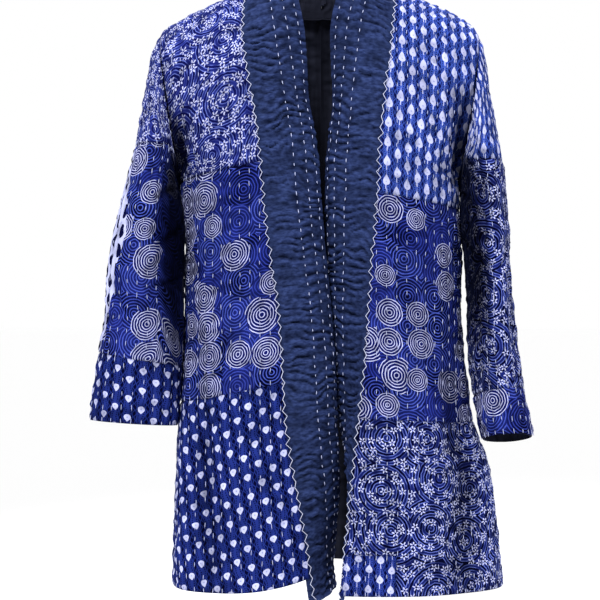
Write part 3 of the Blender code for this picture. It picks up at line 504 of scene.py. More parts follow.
def ovalPrint(tree, place, low, high):       # dark ovals on white; every other column is half a step lower
    across, along = ovals["pitch"]
    xy = add(tree, "ShaderNodeSeparateXYZ", {0: place}).node.outputs
    x = add(tree, maths, {0: xy[0], 1: 1 / across}, operation="MULTIPLY")
    odd = worked(tree, maths, x, ("FLOOR",), ("FLOORED_MODULO", 2.0))
    y = add(tree, maths, {0: xy[1], 1: 1 / along}, operation="MULTIPLY")
    y = add(tree, maths, {0: odd, 1: 0.5, 2: y}, operation="MULTIPLY_ADD")
    size = across / ovals["half"][0], along / ovals["half"][1], 0.0
    spot = add(tree, "ShaderNodeCombineXYZ", {0: x, 1: y})
    spot = worked(tree, vectorMaths, spot, ("FRACTION",), ("SUBTRACT", (0.5, 0.5, 0.0)), ("MULTIPLY", size))
    far = add(tree, vectorMaths, {0: spot}, out=1, operation="LENGTH")
    oval = add(tree, maths, {0: far, 1: 1.0}, operation="LESS_THAN")
    return inked(tree, high, (oval, low))


def ringAndOvalPrint(tree, place, low, high):       # the patch behind wraps round the sleeve's outer edge
    xy = add(tree, "ShaderNodeSeparateXYZ", {0: place}).node.outputs
    away = worked(tree, maths, xy[1], ("SUBTRACT", ovals["wrapMiddle"]), ("ABSOLUTE",))
    edge = add(tree, maths, {0: away, 1: ovals["wrap"][0], 2: ovals["wrap"][1]}, operation="MULTIPLY_ADD")
    wraps = add(tree, maths, {0: xy[0], 1: edge}, operation="LESS_THAN")
    white = ovalPrint(tree, place, inks["navy"], inks["white"])
    return inked(tree, ringPrint(tree, place, low, high), (wraps, white))


prints = {
    "rings": printedCotton(         # near-black cotton with pale and blue rings
        "navyCottonRingPrint", ringPrint, inks["deepNavy"], "#11174E"),
    "drops": printedCotton(         # bright blue stripes with large white drops, the lightest of the blues
        "blueStripedCottonDropPrint", dropPrint, "#0A1044", "#3850A8", 0.0150, 0.0006, (0.22, 0.78)),
    "royalDrops": printedCotton(    # dark royal stripes with short white drops set wider
        "royalStripedCottonDropPrint", dropPrint, inks["deepNavy"], "#1E2C74", 0.0178, 0.0, (0.26, 0.64)),
    "cornerDrops": printedCotton(   # the blue drops again on a darker ground
        "deepStripedCottonDropPrint", dropPrint, inks["navy"], "#2A3C90", 0.0150, 0.0004, (0.26, 0.68)),
    "flowers": printedCotton(       # white flowers close together on soft indigo arcs
        "indigoCottonFlowerPrint", flowerPrint, "#0B0E46", "#1D256C", 0.0142, 0.0056),
    "nightFlowers": printedCotton(  # the same flowers, a little smaller, on a nearly black ground
        "navyCottonFlowerPrint", flowerPrint, inks["deepNavy"], "#141D5C", 0.0140, 0.0050),
    "ovals": printedCotton(         # white cotton with rows of dark ovals, the one light patch
        "whiteCottonOvalPrint", ovalPrint, inks["navy"], inks["white"]),
    "ringsAndOvals": printedCotton(       # dark rings with the white oval cloth along one edge
        "navyAndWhiteCottonPrint", ringAndOvalPrint, inks["deepNavy"], "#11174E"),
}
blackLiningWithPaintedShade = plainCotton(          # soft black cotton that hangs in faint streaks; black as the lining is, and darkened further as painted shade for the inside of the jacket
    "blackCottonLiningWithPaintedShade", ("#101118", "#232531"), rough=0.9, scale=60.0, stretch=(1.0, 0.08, 1.0))
navyBand = plainCotton(             # matt navy cotton without a print, with the slubs of its threads
    "plainNavyCotton", ("#1A2446", "#2F3C66"), rough=0.8, scale=330.0, stretch=(0.45, 1.0, 1.0))
thread, _, threadShader = newMaterial("paleCottonThread", rough=0.75, sheen=0.1)    # soft bluish white
threadShader.inputs["Base Color"].default_value = linear("#AEB4D6")
zigzagThread, _, zigzagShader = newMaterial("ivoryCottonThread", rough=0.75, sheen=0.1)    # the brightest
zigzagShader.inputs["Base Color"].default_value = linear("#BEC2DA")
print("finishes made")


# body

shape = {
    "armholeX": {-1: 0.2125, 1: 0.2045},       # lengths in m, and heights from the shoulders
    "armholeLean": 0.0155,
    "armholeZ": -0.181,
    "armholeHalfHeight": 0.103,
    "armholeHalfDepth": 0.072,
    "armholeRows": 11,
    "neckX": 0.104,
    "neckDrop": math.radians(40),
    "shoulderColumns": ("along", "rightHeight", "leftHeight"),
    "shoulder": [
        (-0.95, 0.01, 0.01),
        (0.0, -0.012, -0.012),
        (0.28, -0.028, -0.0255),
        (0.54, -0.042, -0.039),
        (0.79, -0.058, -0.054),
        (0.91, -0.067, -0.064),
        (1.0, -0.078, -0.078),
    ],
    "roundness": 2.5,            # of the level sections: 2 is an ellipse
    "sectionColumns": ("z", "rightWidth", "leftWidth", "frontDepth", "backDepth"),
    "sections": [
        (-0.1, 0.2125, 0.2045, 0.115, 0.112),
        (-0.181, 0.2125, 0.2045, 0.118, 0.115),
        (-0.284, 0.197, 0.189, 0.124, 0.119),
        (-0.33, 0.193, 0.1925, 0.125, 0.118),
        (-0.385, 0.1912, 0.1945, 0.124, 0.116),
        (-0.435, 0.1912, 0.1935, 0.123, 0.115),
        (-0.518, 0.1935, 0.1975, 0.124, 0.117),
        (-0.568, 0.1965, 0.2035, 0.125, 0.12),
        (-0.616, 0.2, 0.2095, 0.127, 0.123),
        (-0.64, 0.2017, 0.2165, 0.128, 0.125),
        (-0.661, 0.203, 0.2245, 0.129, 0.126),
        (-0.751, 0.2065, 0.2395, 0.132, 0.13),
        (-0.844, 0.21, 0.2525, 0.135, 0.135),
    ],
    "seamColumns": ("z", "rightX", "leftX"),
    "bandSeam": [
        (-0.012, 0.104, 0.104),
        (-0.06, 0.109, 0.0965),
        (-0.11, 0.107, 0.0916),
        (-0.17, 0.0965, 0.0825),
        (-0.24, 0.086, 0.0757),
        (-0.32, 0.0795, 0.0715),
        (-0.4, 0.069, 0.0645),
        (-0.48, 0.059, 0.0588),
        (-0.56, 0.0535, 0.0527),
        (-0.62, 0.0495, 0.0455),
        (-0.68, 0.0405, 0.0388),
        (-0.74, 0.029, 0.0332),
        (-0.8, 0.0198, 0.0262),
        (-0.86, 0.0125, 0.02),
    ],
    "rowColumns": ("sideZ", "innerZ", "bend"),
    "rows": {
        ("front", -1): [
            (-0.284, -0.262, 1.0),
            (-0.335, -0.312, 1.0),
            (-0.386, -0.361, 1.0),
            (-0.437, -0.41, 1.0),
            (-0.488, -0.459, 1.0),
            (-0.539, -0.508, 1.0),
            (-0.59, -0.558, 1.0),
            (-0.64, -0.609, 1.2),
            (-0.69, -0.661, 1.5),
            (-0.74, -0.714, 2.0),
            (-0.79, -0.768, 2.5),
            (-0.843, -0.822, 3.0),
        ],
        ("front", 1): [
            (-0.284, -0.271, 1.0),
            (-0.323, -0.304, 1.0),
            (-0.372, -0.354, 1.0),
            (-0.421, -0.404, 1.0),
            (-0.47, -0.454, 1.0),
            (-0.519, -0.504, 1.0),
            (-0.568, -0.555, 1.0),
            (-0.616, -0.606, 1.0),
            (-0.661, -0.655, 1.0),
            (-0.706, -0.704, 1.0),
            (-0.75, -0.749, 1.0),
            (-0.789, -0.789, 1.0),
            (-0.843, -0.844, 1.0),
        ],
    },
    "turnReach": 0.055,          # the front edges turn back towards the hem
    "turnColumns": ("z", "rightY", "leftY"),
    "frontTurn": [
        (-0.56, 0.0, 0.0),
        (-0.64, 0.004, 0.004),
        (-0.72, 0.015, 0.01),
        (-0.79, 0.026, 0.015),
        (-0.86, 0.034, 0.018),
    ],
    "foldColumns": ("face", "side", "topAcross", "topRow", "lowAcross", "lowRow", "width", "depth"),
    "folds": [
        ("front", -1, 0.66, 15.5, 0.72, 22.9, 0.024, 0.006),
        ("front", -1, 0.6, 15.0, 0.5, 22.9, 0.02, -0.005),
        ("front", -1, 0.35, 16.5, 0.28, 22.9, 0.026, 0.0045),
        ("front", -1, 0.85, 5.0, 0.93, 11.5, 0.016, -0.006),
        ("front", 1, 0.82, 17.5, 0.8, 23.9, 0.026, 0.0065),
        ("front", 1, 0.62, 15.5, 0.6, 23.9, 0.024, -0.006),
        ("front", 1, 0.36, 17.0, 0.38, 23.9, 0.026, 0.005),
        ("front", 1, 0.83, 4.5, 0.93, 11.5, 0.016, -0.0065),
        ("back", -1, 0.86, 5.0, 0.93, 11.5, 0.018, -0.006),
        ("back", -1, 0.75, 11.5, 0.72, 22.9, 0.026, 0.006),
        ("back", -1, 0.52, 14.0, 0.5, 22.9, 0.028, -0.0065),
        ("back", -1, 0.25, 12.5, 0.24, 22.9, 0.03, 0.0055),
        ("back", 1, 0.85, 4.5, 0.93, 11.5, 0.018, -0.0055),
        ("back", 1, 0.78, 12.5, 0.8, 22.9, 0.03, 0.007),
        ("back", 1, 0.55, 13.0, 0.57, 22.9, 0.026, -0.007),
        ("back", 1, 0.3, 15.0, 0.31, 22.9, 0.028, 0.005),
    ],
    "creases": [        # short ones that fan out below the arms
        ("front", -1, 1.0, 6.2, 0.80, 9.4, 0.006, -0.0045),
        ("front", -1, 1.0, 7.6, 0.76, 10.6, 0.006, -0.0050),
        ("front", -1, 0.99, 8.4, 0.84, 12.2, 0.006, 0.0040),
        ("front", -1, 1.0, 9.3, 0.88, 13.5, 0.006, -0.0050),
        ("front", 1, 1.0, 4.6, 0.86, 7.4, 0.006, -0.0042),
        ("front", 1, 1.0, 6.6, 0.80, 9.8, 0.006, -0.0048),
        ("front", 1, 1.0, 8.2, 0.82, 11.6, 0.007, 0.0040),
        ("front", 1, 1.0, 9.6, 0.89, 13.8, 0.006, -0.0048),
        ("back", -1, 1.0, 5.8, 0.82, 9.0, 0.007, -0.0042),
        ("back", -1, 1.0, 7.9, 0.78, 11.2, 0.007, -0.0048),
        ("back", 1, 1.0, 6.4, 0.80, 9.9, 0.007, -0.0045),
        ("back", 1, 1.0, 8.8, 0.84, 12.4, 0.007, -0.0042),
    ],
    # painted shade where the arm hides the side: across in shares of the width, down in rows
    "underArmPaintedShade": {"across": 0.86, "over": 0.10, "row": 11.2, "reach": 5.2, "strength": 2.8},
    "foldBluntness": 0.7,
    "foldMargin": 0.09,          # folds and creases run out this far from a seam, as shares of the width
    "creaseMargin": 0.015,
    "heartZ": -0.25,             # outward is away from the middle line below this height
}

shape["rows"]["back", -1] = shape["rows"]["back", 1] = [
    (-0.284, -0.284, 1.0),
    (-0.335, -0.335, 1.0),
    (-0.388, -0.388, 1.0),
    (-0.441, -0.441, 1.0),
    (-0.494, -0.494, 1.0),
    (-0.547, -0.547, 1.0),
    (-0.6, -0.6, 1.0),
    (-0.648, -0.646, 1.0),
    (-0.696, -0.692, 1.0),
    (-0.744, -0.738, 1.0),
    (-0.793, -0.785, 1.0),
    (-0.843, -0.832, 1.0),
]

patches = {
    # cells lie side by side; a style is the print, whether it is flipped, its turn in radians and its shift
    "columns": ("face", "side", "level", "firstRow", "lastRow", "cells", "style"),
    "lines": [
        ("front", -1, "upper", 0, 11, 36, ("flowers", False, 0.0, (0.01, 0.02))),
        ("front", -1, "middle", 11, 17, 60, ("rings", False, 0.0, (4.37, 2.83))),
        ("front", -1, "lower", 17, 22, 70, ("royalDrops", True, -0.18, (0.03, 0.0))),
        ("front", 1, "upper", 0, 12, 36, ("drops", False, 0.04, (0.0, 0.0))),
        ("front", 1, "middle", 12, 18, 60, ("rings", False, 0.0, (3.31, 4.17))),
        ("front", 1, "lower", 18, 23, 80, ("nightFlowers", False, 0.0, (0.22, 0.1))),
        ("back", -1, "upper", 0, 12, 65, ("drops", False, 0.0, (0.4, 0.2))),
        ("back", -1, "middle", 12, 17, 70, ("flowers", False, 0.0, (0.7, 0.4))),
        ("back", -1, "lower", 17, 22, 75, ("rings", False, 0.0, (0.9, 0.6))),
        ("back", 1, "upper", 0, 12, 65, ("flowers", False, 0.0, (1.1, 0.3))),
        ("back", 1, "middle", 12, 17, 70, ("rings", False, 0.0, (1.3, 0.5))),
        ("back", 1, "lower", 17, 22, 96, ("drops", True, 0.0, (0.1, 0.7))),
    ],
    "corner": {
        "name": "leftFrontCorner",
        "node": "front_left_corner",
        "neighbour": "leftFrontLower",
        "row": 22,
        "column": 20,
        "style": ("cornerDrops", False, 0.05, (0.005, 0.0)),
    },
}


def smoothValue(table, columns, name, by, at):
    keys = np.array([row[columns.index(by)] for row in table], dtype=float)
    values = np.array([row[columns.index(name)] for row in table], dtype=float)
    order = np.argsort(keys)
    keys, values = keys[order], values[order]
    slopes = np.gradient(values, keys)
    at = np.clip(at, keys[0], keys[-1])
    low = np.clip(np.searchsorted(keys, at) - 1, 0, len(keys) - 2)
    step = keys[low + 1] - keys[low]
    t = (at - keys[low]) / step
    return eased(t, step, values[low], values[low + 1], slopes[low], slopes[low + 1])


def lines(table, columns, **wanted):
    named = [dict(zip(columns, line)) for line in table]
    return [line for line in named if all(line[key] == value for key, value in wanted.items())]


def seamX(side, z):
    return smoothValue(shape["bandSeam"], shape["seamColumns"], sideNames[side] + "X", "z", z)


def sectionSize(face, side, z):
    width = smoothValue(shape["sections"], shape["sectionColumns"], sideNames[side] + "Width", "z", z)
    depth = smoothValue(shape["sections"], shape["sectionColumns"], face + "Depth", "z", z)
    return width, depth


def sectionPoints(xStart, xEnd, width, depth):
    start = math.asin(min(1.0, (xStart / width) ** (shape["roundness"] / 2)))
    end = math.asin(min(1.0, (xEnd / width) ** (shape["roundness"] / 2)))
    angle = np.linspace(start, end, dense)
    x = width * np.sin(angle) ** (2 / shape["roundness"])
    y = depth * np.abs(np.cos(angle)) ** (2 / shape["roundness"])
    return x, y


def armholeWidth(x, y, depth):
    return x / (1 - (y / depth) ** shape["roundness"]) ** (1 / shape["roundness"])


def shoulderRow(face, side, angle):
    middleX = shape["armholeX"][side]
    topX = middleX + shape["armholeLean"]
    depth = sectionSize(face, side, shape["armholeZ"])[1]
    width = armholeWidth(middleX, shape["armholeHalfDepth"], depth)
    height = sideNames[side] + "Height"
    neckZ = float(smoothValue(shape["shoulder"], shape["shoulderColumns"], height, "along", 0.0))
    innerX = chestX = startX = 0.0
    if face == "front":
        startX = shape["neckX"]
        chestX = float(seamX(side, shape["armholeZ"]))
        innerX = float(seamX(side, shape["armholeZ"] + (neckZ - shape["armholeZ"]) * math.cos(angle)))
    share = np.linspace(0.0, 1.0, dense)
    if face == "back":
        corner = shape["neckX"] / topX
        necklineShare = corner * np.sin(np.linspace(0.0, math.pi / 2, dense))
        share = np.concatenate([necklineShare, np.linspace(corner, 1.0, dense)[1:]])
    sectionX = chestX + share * (middleX - chestX)
    sectionY = depth * (1 - (sectionX / width) ** shape["roundness"]) ** (1 / shape["roundness"])
    seamLineX = startX + share * (topX - startX)
    along = (seamLineX - shape["neckX"]) / (topX - shape["neckX"])
    topZ = smoothValue(shape["shoulder"], shape["shoulderColumns"], height, "along", along)
    neckline = 0.0
    if face == "back":
        neckline = shape["neckDrop"] * np.sqrt(np.clip(1 - (seamLineX / shape["neckX"]) ** 2, 0, 1))
    turn = neckline + (math.pi / 2 - neckline) * angle / (math.pi / 2)
    armX = middleX + shape["armholeLean"] * math.cos(angle)
    x = innerX + share * (armX - innerX)
    y = sectionY * np.sin(turn)
    z = shape["armholeZ"] + (topZ - shape["armholeZ"]) * np.cos(turn)
    return x, y, z


def levelRow(face, side, row):
    angle = math.pi * min(row, shape["armholeRows"]) / shape["armholeRows"]
    columns = dict(zip(shape["rowColumns"], zip(*shape["rows"][face, side])))
    steps = range(len(shape["rows"][face, side]))
    below = max(0.0, row - shape["armholeRows"])
    sideZ, innerZ, bend = (np.interp(below, steps, columns[name]) for name in ("sideZ", "innerZ", "bend"))
    if row < shape["armholeRows"]:
        shareDown = (angle - math.pi / 2) / (math.pi / 2)
        innerZ = shape["armholeZ"] + (innerZ - shape["armholeZ"]) * shareDown
        sideZ = shape["armholeZ"] + shape["armholeHalfHeight"] * math.cos(angle)
    width, depth = sectionSize(face, side, sideZ)
    endX = float(width)
    if row < shape["armholeRows"]:
        endX = shape["armholeX"][side] + shape["armholeLean"] * math.cos(angle)
        width = armholeWidth(endX, shape["armholeHalfDepth"] * math.sin(angle), depth)
    startX = float(seamX(side, innerZ)) if face == "front" else 0.0
    x, y = sectionPoints(startX, endX, width, depth)
    share = (x - startX) / (endX - startX)
    z = sideZ + (innerZ - sideZ) * (1 - share) ** bend
    if face == "front":
        turnBack = smoothValue(shape["frontTurn"], shape["turnColumns"], sideNames[side] + "Y", "z", innerZ)
        atSide = math.exp(-(endX - startX) / shape["turnReach"])
        y = y - turnBack * (np.exp(-(x - startX) / shape["turnReach"]) - atSide) / (1 - atSide)
    return x, y, z


def bodyRow(face, side, row, across):
    row = max(0.0, row)
    if row <= shape["armholeRows"] / 2:
        x, y, z = shoulderRow(face, side, math.pi * row / shape["armholeRows"])
    else:
        x, y, z = levelRow(face, side, row)
    forward = -1.0 if face == "front" else 1.0
    points = np.stack([side * x, forward * y, z], axis=1)
    length = lengths(points)
    points = np.stack([np.interp(across * length[-1], length, points[:, i]) for i in range(3)], axis=1)
    return points, length[-1]


def neckShare(side):       # how much of the back's top edge is neckline
    length = lengths(np.stack(shoulderRow("back", side, 0.0), axis=1))
    return length[dense - 1] / length[-1]


def foldsHeight(folds, across, row, length, margin):
    rise = np.zeros(len(across))
    for fold in folds:
        along = ramp(row, fold["topRow"], fold["lowRow"] - fold["topRow"])
        line = fold["topAcross"] + (fold["lowAcross"] - fold["topAcross"]) * along
        near = fade((across - line) * length, 0, fold["width"])
        rise += fold["depth"] * np.sin(np.pi * along) ** shape["foldBluntness"] * near
    fromEdge = np.minimum(across, 1 - across)
    return rise * ramp(fromEdge, 0, margin)


# a row of points, faced away from the middle of the jacket and raised by its folds and creases
def creased(points, normals, heart, across, row, length, folds, creases, creaseMargin):
    normals *= np.sign(np.sum(normals * (points - heart), axis=1))[:, None]
    rise = foldsHeight(folds, across, row, length, shape["foldMargin"])
    rise += foldsHeight(creases, across, row, length, creaseMargin)
    return points + normals * rise[:, None], normals, rise


def bodyGrid(face, side, rows, across):
    grid = []
    tables = [lines(shape[key], shape["foldColumns"], face=face, side=side) for key in ("folds", "creases")]
    last = shape["armholeRows"] + len(shape["rows"][face, side]) - 1
    for row in rows:
        line, length = bodyRow(face, side, row, across)
        above = bodyRow(face, side, max(0.0, row - edgeStep), across)[0]
        under = bodyRow(face, side, min(last, row + edgeStep), across)[0]
        near = bodyRow(face, side, row, np.clip(across - shareStep, 0, 1))[0]
        far = bodyRow(face, side, row, np.clip(across + shareStep, 0, 1))[0]
        normal = unit(np.cross(far - near, under - above))
        heart = np.zeros_like(line)
        heart[:, 2] = np.minimum(line[:, 2], shape["heartZ"])
        grid.append(creased(line, normal, heart, across, row, length, *tables, shape["creaseMargin"]))
    return [np.array(part) for part in zip(*grid)]


def spaced(coarse, middle):       # rows one mesh cell apart down a line through the middle
    length = lengths(middle)
    return np.interp(np.linspace(0, length[-1], round(length[-1] / cloth["cell"]) + 1), length, coarse)


def fineRows(face, side, first, last):
    coarse = np.linspace(first, last, 6 * (last - first) + 1)
    middle = np.stack([bodyRow(face, side, row, np.array([0.5]))[0][0] for row in coarse])
    return spaced(coarse, middle)


def buildBody():
    corner, arm = patches["corner"], shape["underArmPaintedShade"]
    for number, line in enumerate(lines(patches["lines"], patches["columns"])):
        face, side, level, first, last, cells, style = line.values()
        name = sideNames[side] + face.capitalize() + level.capitalize()
        node, seed = f"{face}_{sideNames[side]}_{level}", 10 * number
        across = np.linspace(0, 1, cells + 1)
        if name != corner["neighbour"]:
            rows = fineRows(face, side, first, last)
        else:
            rows = fineRows(face, side, first, corner["row"])
            rows = np.concatenate([rows, fineRows(face, side, corner["row"], last)[1:]])
        points, normals, fold = bodyGrid(face, side, rows, across)
        # painted shade on the body's side under the arm
        under = arm["strength"] * ramp(across[None, :], arm["across"], arm["over"])
        under = under * fade(rows[:, None], arm["row"], arm["reach"], 4)
        cut = None
        if name == corner["neighbour"]:
            cut = int(np.argmin(np.abs(rows - corner["row"]))), corner["column"]
            part = np.s_[cut[0] :, : cut[1] + 1]
            patch(corner["name"], corner["node"], points[part], normals[part], fold[part], under[part],
                  seed + 5, corner["style"])
        even = "bottom" if level == "upper" else "top"
        patch(name, node, points, normals, fold, under, seed, style, even, cut)


buildBody()
print("body built")


# sleeves

sleeve = {
    "upperSeamZ": {-1: -0.236, 1: -0.257},     # outer end of the level seam on the upper arm
    "upperSeamRow": 3,
    "narrowPlace": 1.0,
    "evenRow": 5,
    "columns": ("row", "outerX", "outerZ", "innerX", "innerZ", "halfDepth", "centreY", "tilt"),
    "sleeves": {
        -1: [
            (0.0, 0.228, -0.078, 0.197, -0.284, 0.072, 0.0, 0.0),
            (1.0, 0.2368, -0.104, 0.199, -0.289, 0.079, -0.008, 0.0),
            (2.0, 0.246, -0.16, 0.1988, -0.296, 0.08, -0.02, 0.0),
            (3.0, 0.256, -0.226, 0.1965, -0.306, 0.075, -0.031, 0.0),
            (4.0, 0.27, -0.284, 0.1912, -0.348, 0.068, -0.04, 0.0),
            (5.0, 0.284, -0.342, 0.1918, -0.394, 0.062, -0.043, 0.0),
            (6.0, 0.295, -0.4, 0.1922, -0.442, 0.058, -0.044, 0.0),
            (7.0, 0.299, -0.46, 0.1915, -0.49, 0.055, -0.044, 0.0),
            (8.0, 0.3085, -0.52, 0.1935, -0.538, 0.052, -0.043, 0.0),
            (9.0, 0.3152, -0.567, 0.1962, -0.58, 0.049, -0.042, 0.0),
            (10.0, 0.3215, -0.613, 0.1998, -0.621, 0.047, -0.041, 0.02),
        ],
        1: [
            (0.0, 0.22, -0.078, 0.189, -0.284, 0.072, 0.0, 0.0),
            (1.0, 0.2255, -0.106, 0.191, -0.289, 0.079, -0.008, 0.0),
            (2.0, 0.2335, -0.172, 0.1925, -0.296, 0.081, -0.02, 0.0),
            (3.0, 0.2475, -0.253, 0.1928, -0.307, 0.078, -0.032, 0.0),
            (4.0, 0.253, -0.306, 0.1918, -0.347, 0.073, -0.041, 0.0),
            (5.0, 0.256, -0.358, 0.197, -0.392, 0.069, -0.045, 0.0),
            (6.0, 0.2575, -0.411, 0.1998, -0.437, 0.066, -0.048, 0.02),
            (7.0, 0.262, -0.464, 0.2, -0.483, 0.063, -0.051, 0.05),
            (8.0, 0.268, -0.517, 0.202, -0.53, 0.06, -0.054, 0.09),
            (9.0, 0.2755, -0.57, 0.208, -0.578, 0.058, -0.057, 0.14),
            (10.0, 0.287, -0.636, 0.2195, -0.638, 0.056, -0.06, 0.19),
        ],
    },
    "foldColumns": ("side", "half", "topAcross", "topRow", "lowAcross", "lowRow", "width", "depth"),
    "folds": [
        (-1, "front", 0.62, 1.2, 0.7, 6.5, 0.02, -0.0055),
        (-1, "front", 0.3, 2.5, 0.42, 9.8, 0.022, 0.004),
        (-1, "back", 0.6, 1.5, 0.62, 7.5, 0.022, -0.0055),
        (-1, "back", 0.32, 3.5, 0.3, 9.5, 0.022, 0.004),
        (1, "front", 0.58, 1.2, 0.7, 9.0, 0.02, -0.007),
        (1, "front", 0.38, 3.5, 0.46, 10.2, 0.016, 0.006),
        (1, "back", 0.6, 1.5, 0.6, 8.0, 0.022, -0.006),
        (1, "back", 0.3, 3.0, 0.34, 9.5, 0.022, 0.0045),
    ],
    "creases": [        # slanted ones round the upper arm and the elbow
        (-1, "front", 1.0, 2.2, 0.45, 4.2, 0.006, -0.0038),
        (-1, "front", 1.0, 3.6, 0.55, 5.2, 0.006, -0.0042),
        (-1, "front", 0.95, 5.4, 0.40, 6.4, 0.007, -0.0036),
        (-1, "front", 0.10, 6.0, 0.50, 7.4, 0.007, -0.0032),
        (-1, "back", 1.0, 3.0, 0.50, 4.8, 0.007, -0.0040),
        (-1, "back", 0.15, 5.2, 0.60, 6.6, 0.007, -0.0036),
        (1, "front", 1.0, 2.4, 0.50, 4.6, 0.006, -0.0040),
        (1, "front", 1.0, 4.2, 0.60, 5.6, 0.006, -0.0042),
        (1, "front", 0.20, 5.0, 0.62, 6.4, 0.007, -0.0034),
        (1, "front", 0.95, 6.6, 0.52, 7.6, 0.006, -0.0036),
        (1, "back", 1.0, 2.8, 0.52, 4.6, 0.007, -0.0040),
        (1, "back", 0.20, 5.6, 0.64, 7.0, 0.007, -0.0036),
    ],
    "creaseMargin": 0.02,        # creases run out this far from a seam, as a share of the width
    "cells": 66,
    # painted shade beside the body and below the armhole seam
    "bodyPaintedShade": {"across": 0.62, "over": 0.17, "row": 3.4, "reach": 4.0, "strength": 3.2},
    "seamPaintedShade": {"across": 0.30, "over": 0.3, "reach": 0.45, "strength": 1.8},
    "rows": {
        -1: {"upper": (0, 3), "middle": (3, 8), "cuff": (8, 10)},
        1: {"upper": (0, 3), "middle": (3, 9), "cuff": (9, 10)},
    },
    "styles": {
        (-1, "upper", "front"): ("flowers", False, 0.0, (0.5, 0.1)),
        (-1, "upper", "back"): ("flowers", False, 0.0, (0.8, 0.1)),
        (-1, "middle", "front"): ("ringsAndOvals", False, 0.0, (0.0, 0.0)),
        (-1, "middle", "back"): ("ovals", False, 0.0, (0.0, 0.0)),
        (-1, "cuff", "front"): ("royalDrops", True, 0.0, (0.0, 0.01)),
        (-1, "cuff", "back"): ("royalDrops", True, 0.0, (0.2, 0.01)),
        (1, "upper", "front"): ("drops", False, 0.0, (0.01, 0.0)),
        (1, "upper", "back"): ("drops", False, 0.0, (0.2, 0.0)),
        (1, "middle", "front"): ("nightFlowers", False, 0.0, (0.9, 0.2)),
        (1, "middle", "back"): ("nightFlowers", False, 0.0, (1.3, 0.2)),
        (1, "cuff", "front"): ("rings", False, 0.0, (1.7, 0.2)),
        (1, "cuff", "back"): ("rings", False, 0.0, (2.1, 0.2)),
    },
}


def sleeveValue(side, name, place):
    return smoothValue(sleeve["sleeves"][side], sleeve["columns"], name, "row", place)


def sectionPlace(side, row, turn):
    even, seamRow, seamZ = sleeve["evenRow"], sleeve["upperSeamRow"], sleeve["upperSeamZ"][side]
    if row >= even:
        return np.full(len(turn), float(row))
    places = np.linspace(sleeve["narrowPlace"], even, dense)
    outerZ, innerZ = (sleeveValue(side, name, places) for name in ("outerZ", "innerZ"))
    heights = [innerZ + (outerZ - innerZ) * outward for outward in (1 + np.cos(np.pi * turn)) / 2]
    seam = np.array([np.interp(-seamZ, -height, places) for height in heights])
    if row <= seamRow:
        return seam * row / seamRow
    return seam + (even - seam) * (row - seamRow) / (even - seamRow)


def sleeveRing(side, half, place, turn):
    value = {name: sleeveValue(side, name, place) for name in sleeve["columns"]}
    forward = -1.0 if half == "front" else 1.0
    outward = (1 + np.cos(np.pi * turn)) / 2
    sweep = forward * value["halfDepth"] * np.sin(np.pi * turn)
    x = side * (value["innerX"] + (value["outerX"] - value["innerX"]) * outward)
    y = value["centreY"] + sweep
    z = value["innerZ"] + (value["outerZ"] - value["innerZ"]) * outward - value["tilt"] * sweep
    return np.stack([x, y, z], axis=1)


def sleeveGrid(side, half, rows, turn):
    grid = []
    tables = [lines(sleeve[key], sleeve["foldColumns"], side=side, half=half) for key in ("folds", "creases")]
    last = sleeve["sleeves"][side][-1][sleeve["columns"].index("row")]
    for row in rows:
        place = sectionPlace(side, row, turn)
        line = sleeveRing(side, half, place, turn)
        above = sleeveRing(side, half, np.maximum(0.0, place - edgeStep), turn)
        under = sleeveRing(side, half, np.minimum(last, place + edgeStep), turn)
        near = sleeveRing(side, half, place, turn - shareStep)
        far = sleeveRing(side, half, place, turn + shareStep)
        normal = unit(np.cross(far - near, under - above))
        heart = (line + sleeveRing(side, half, place, 1 - turn)) / 2
        heart[:, 1] = sleeveValue(side, "centreY", place)
        length = lengths(line)[-1]
        grid.append(creased(line, normal, heart, turn, place, length, *tables, sleeve["creaseMargin"]))
    return [np.array(part) for part in zip(*grid)]


def buildSleeves():
    body, seam = sleeve["bodyPaintedShade"], sleeve["seamPaintedShade"]
    across = np.linspace(0, 1, sleeve["cells"] + 1)
    spot = np.array([0.3])        # its length down the sleeve sets the rows
    for number, ((side, level, half), style) in enumerate(sleeve["styles"].items()):
        first, last = sleeve["rows"][side][level]
        coarse = np.linspace(first, last, 8 * (last - first) + 1)
        middle = np.stack([sleeveRing(side, half, sectionPlace(side, row, spot), spot)[0] for row in coarse])
        rows = spaced(coarse, middle)
        points, normals, fold = sleeveGrid(side, half, rows, across)
        # painted shade on the sleeve's side towards the body and below the armhole seam
        near = ramp(across[None, :], body["across"], body["over"])
        under = body["strength"] * near * near * (3 - 2 * near)
        under = under * fade(rows[:, None], body["row"], body["reach"], 4)
        near = ramp(across[None, :], seam["across"], seam["over"])
        under += seam["strength"] * near * fade(rows[:, None], 0, seam["reach"])
        name = f"{sideNames[side]}Sleeve{level.capitalize()}{half.capitalize()}"
        node = f"sleeve_{sideNames[side]}_{level}_{half}"
        even = "bottom" if level == "upper" else "top"
        patch(name, node, points, normals, fold, under, 300 + 10 * number, style, even)


buildSleeves()
print("sleeves built")


# band

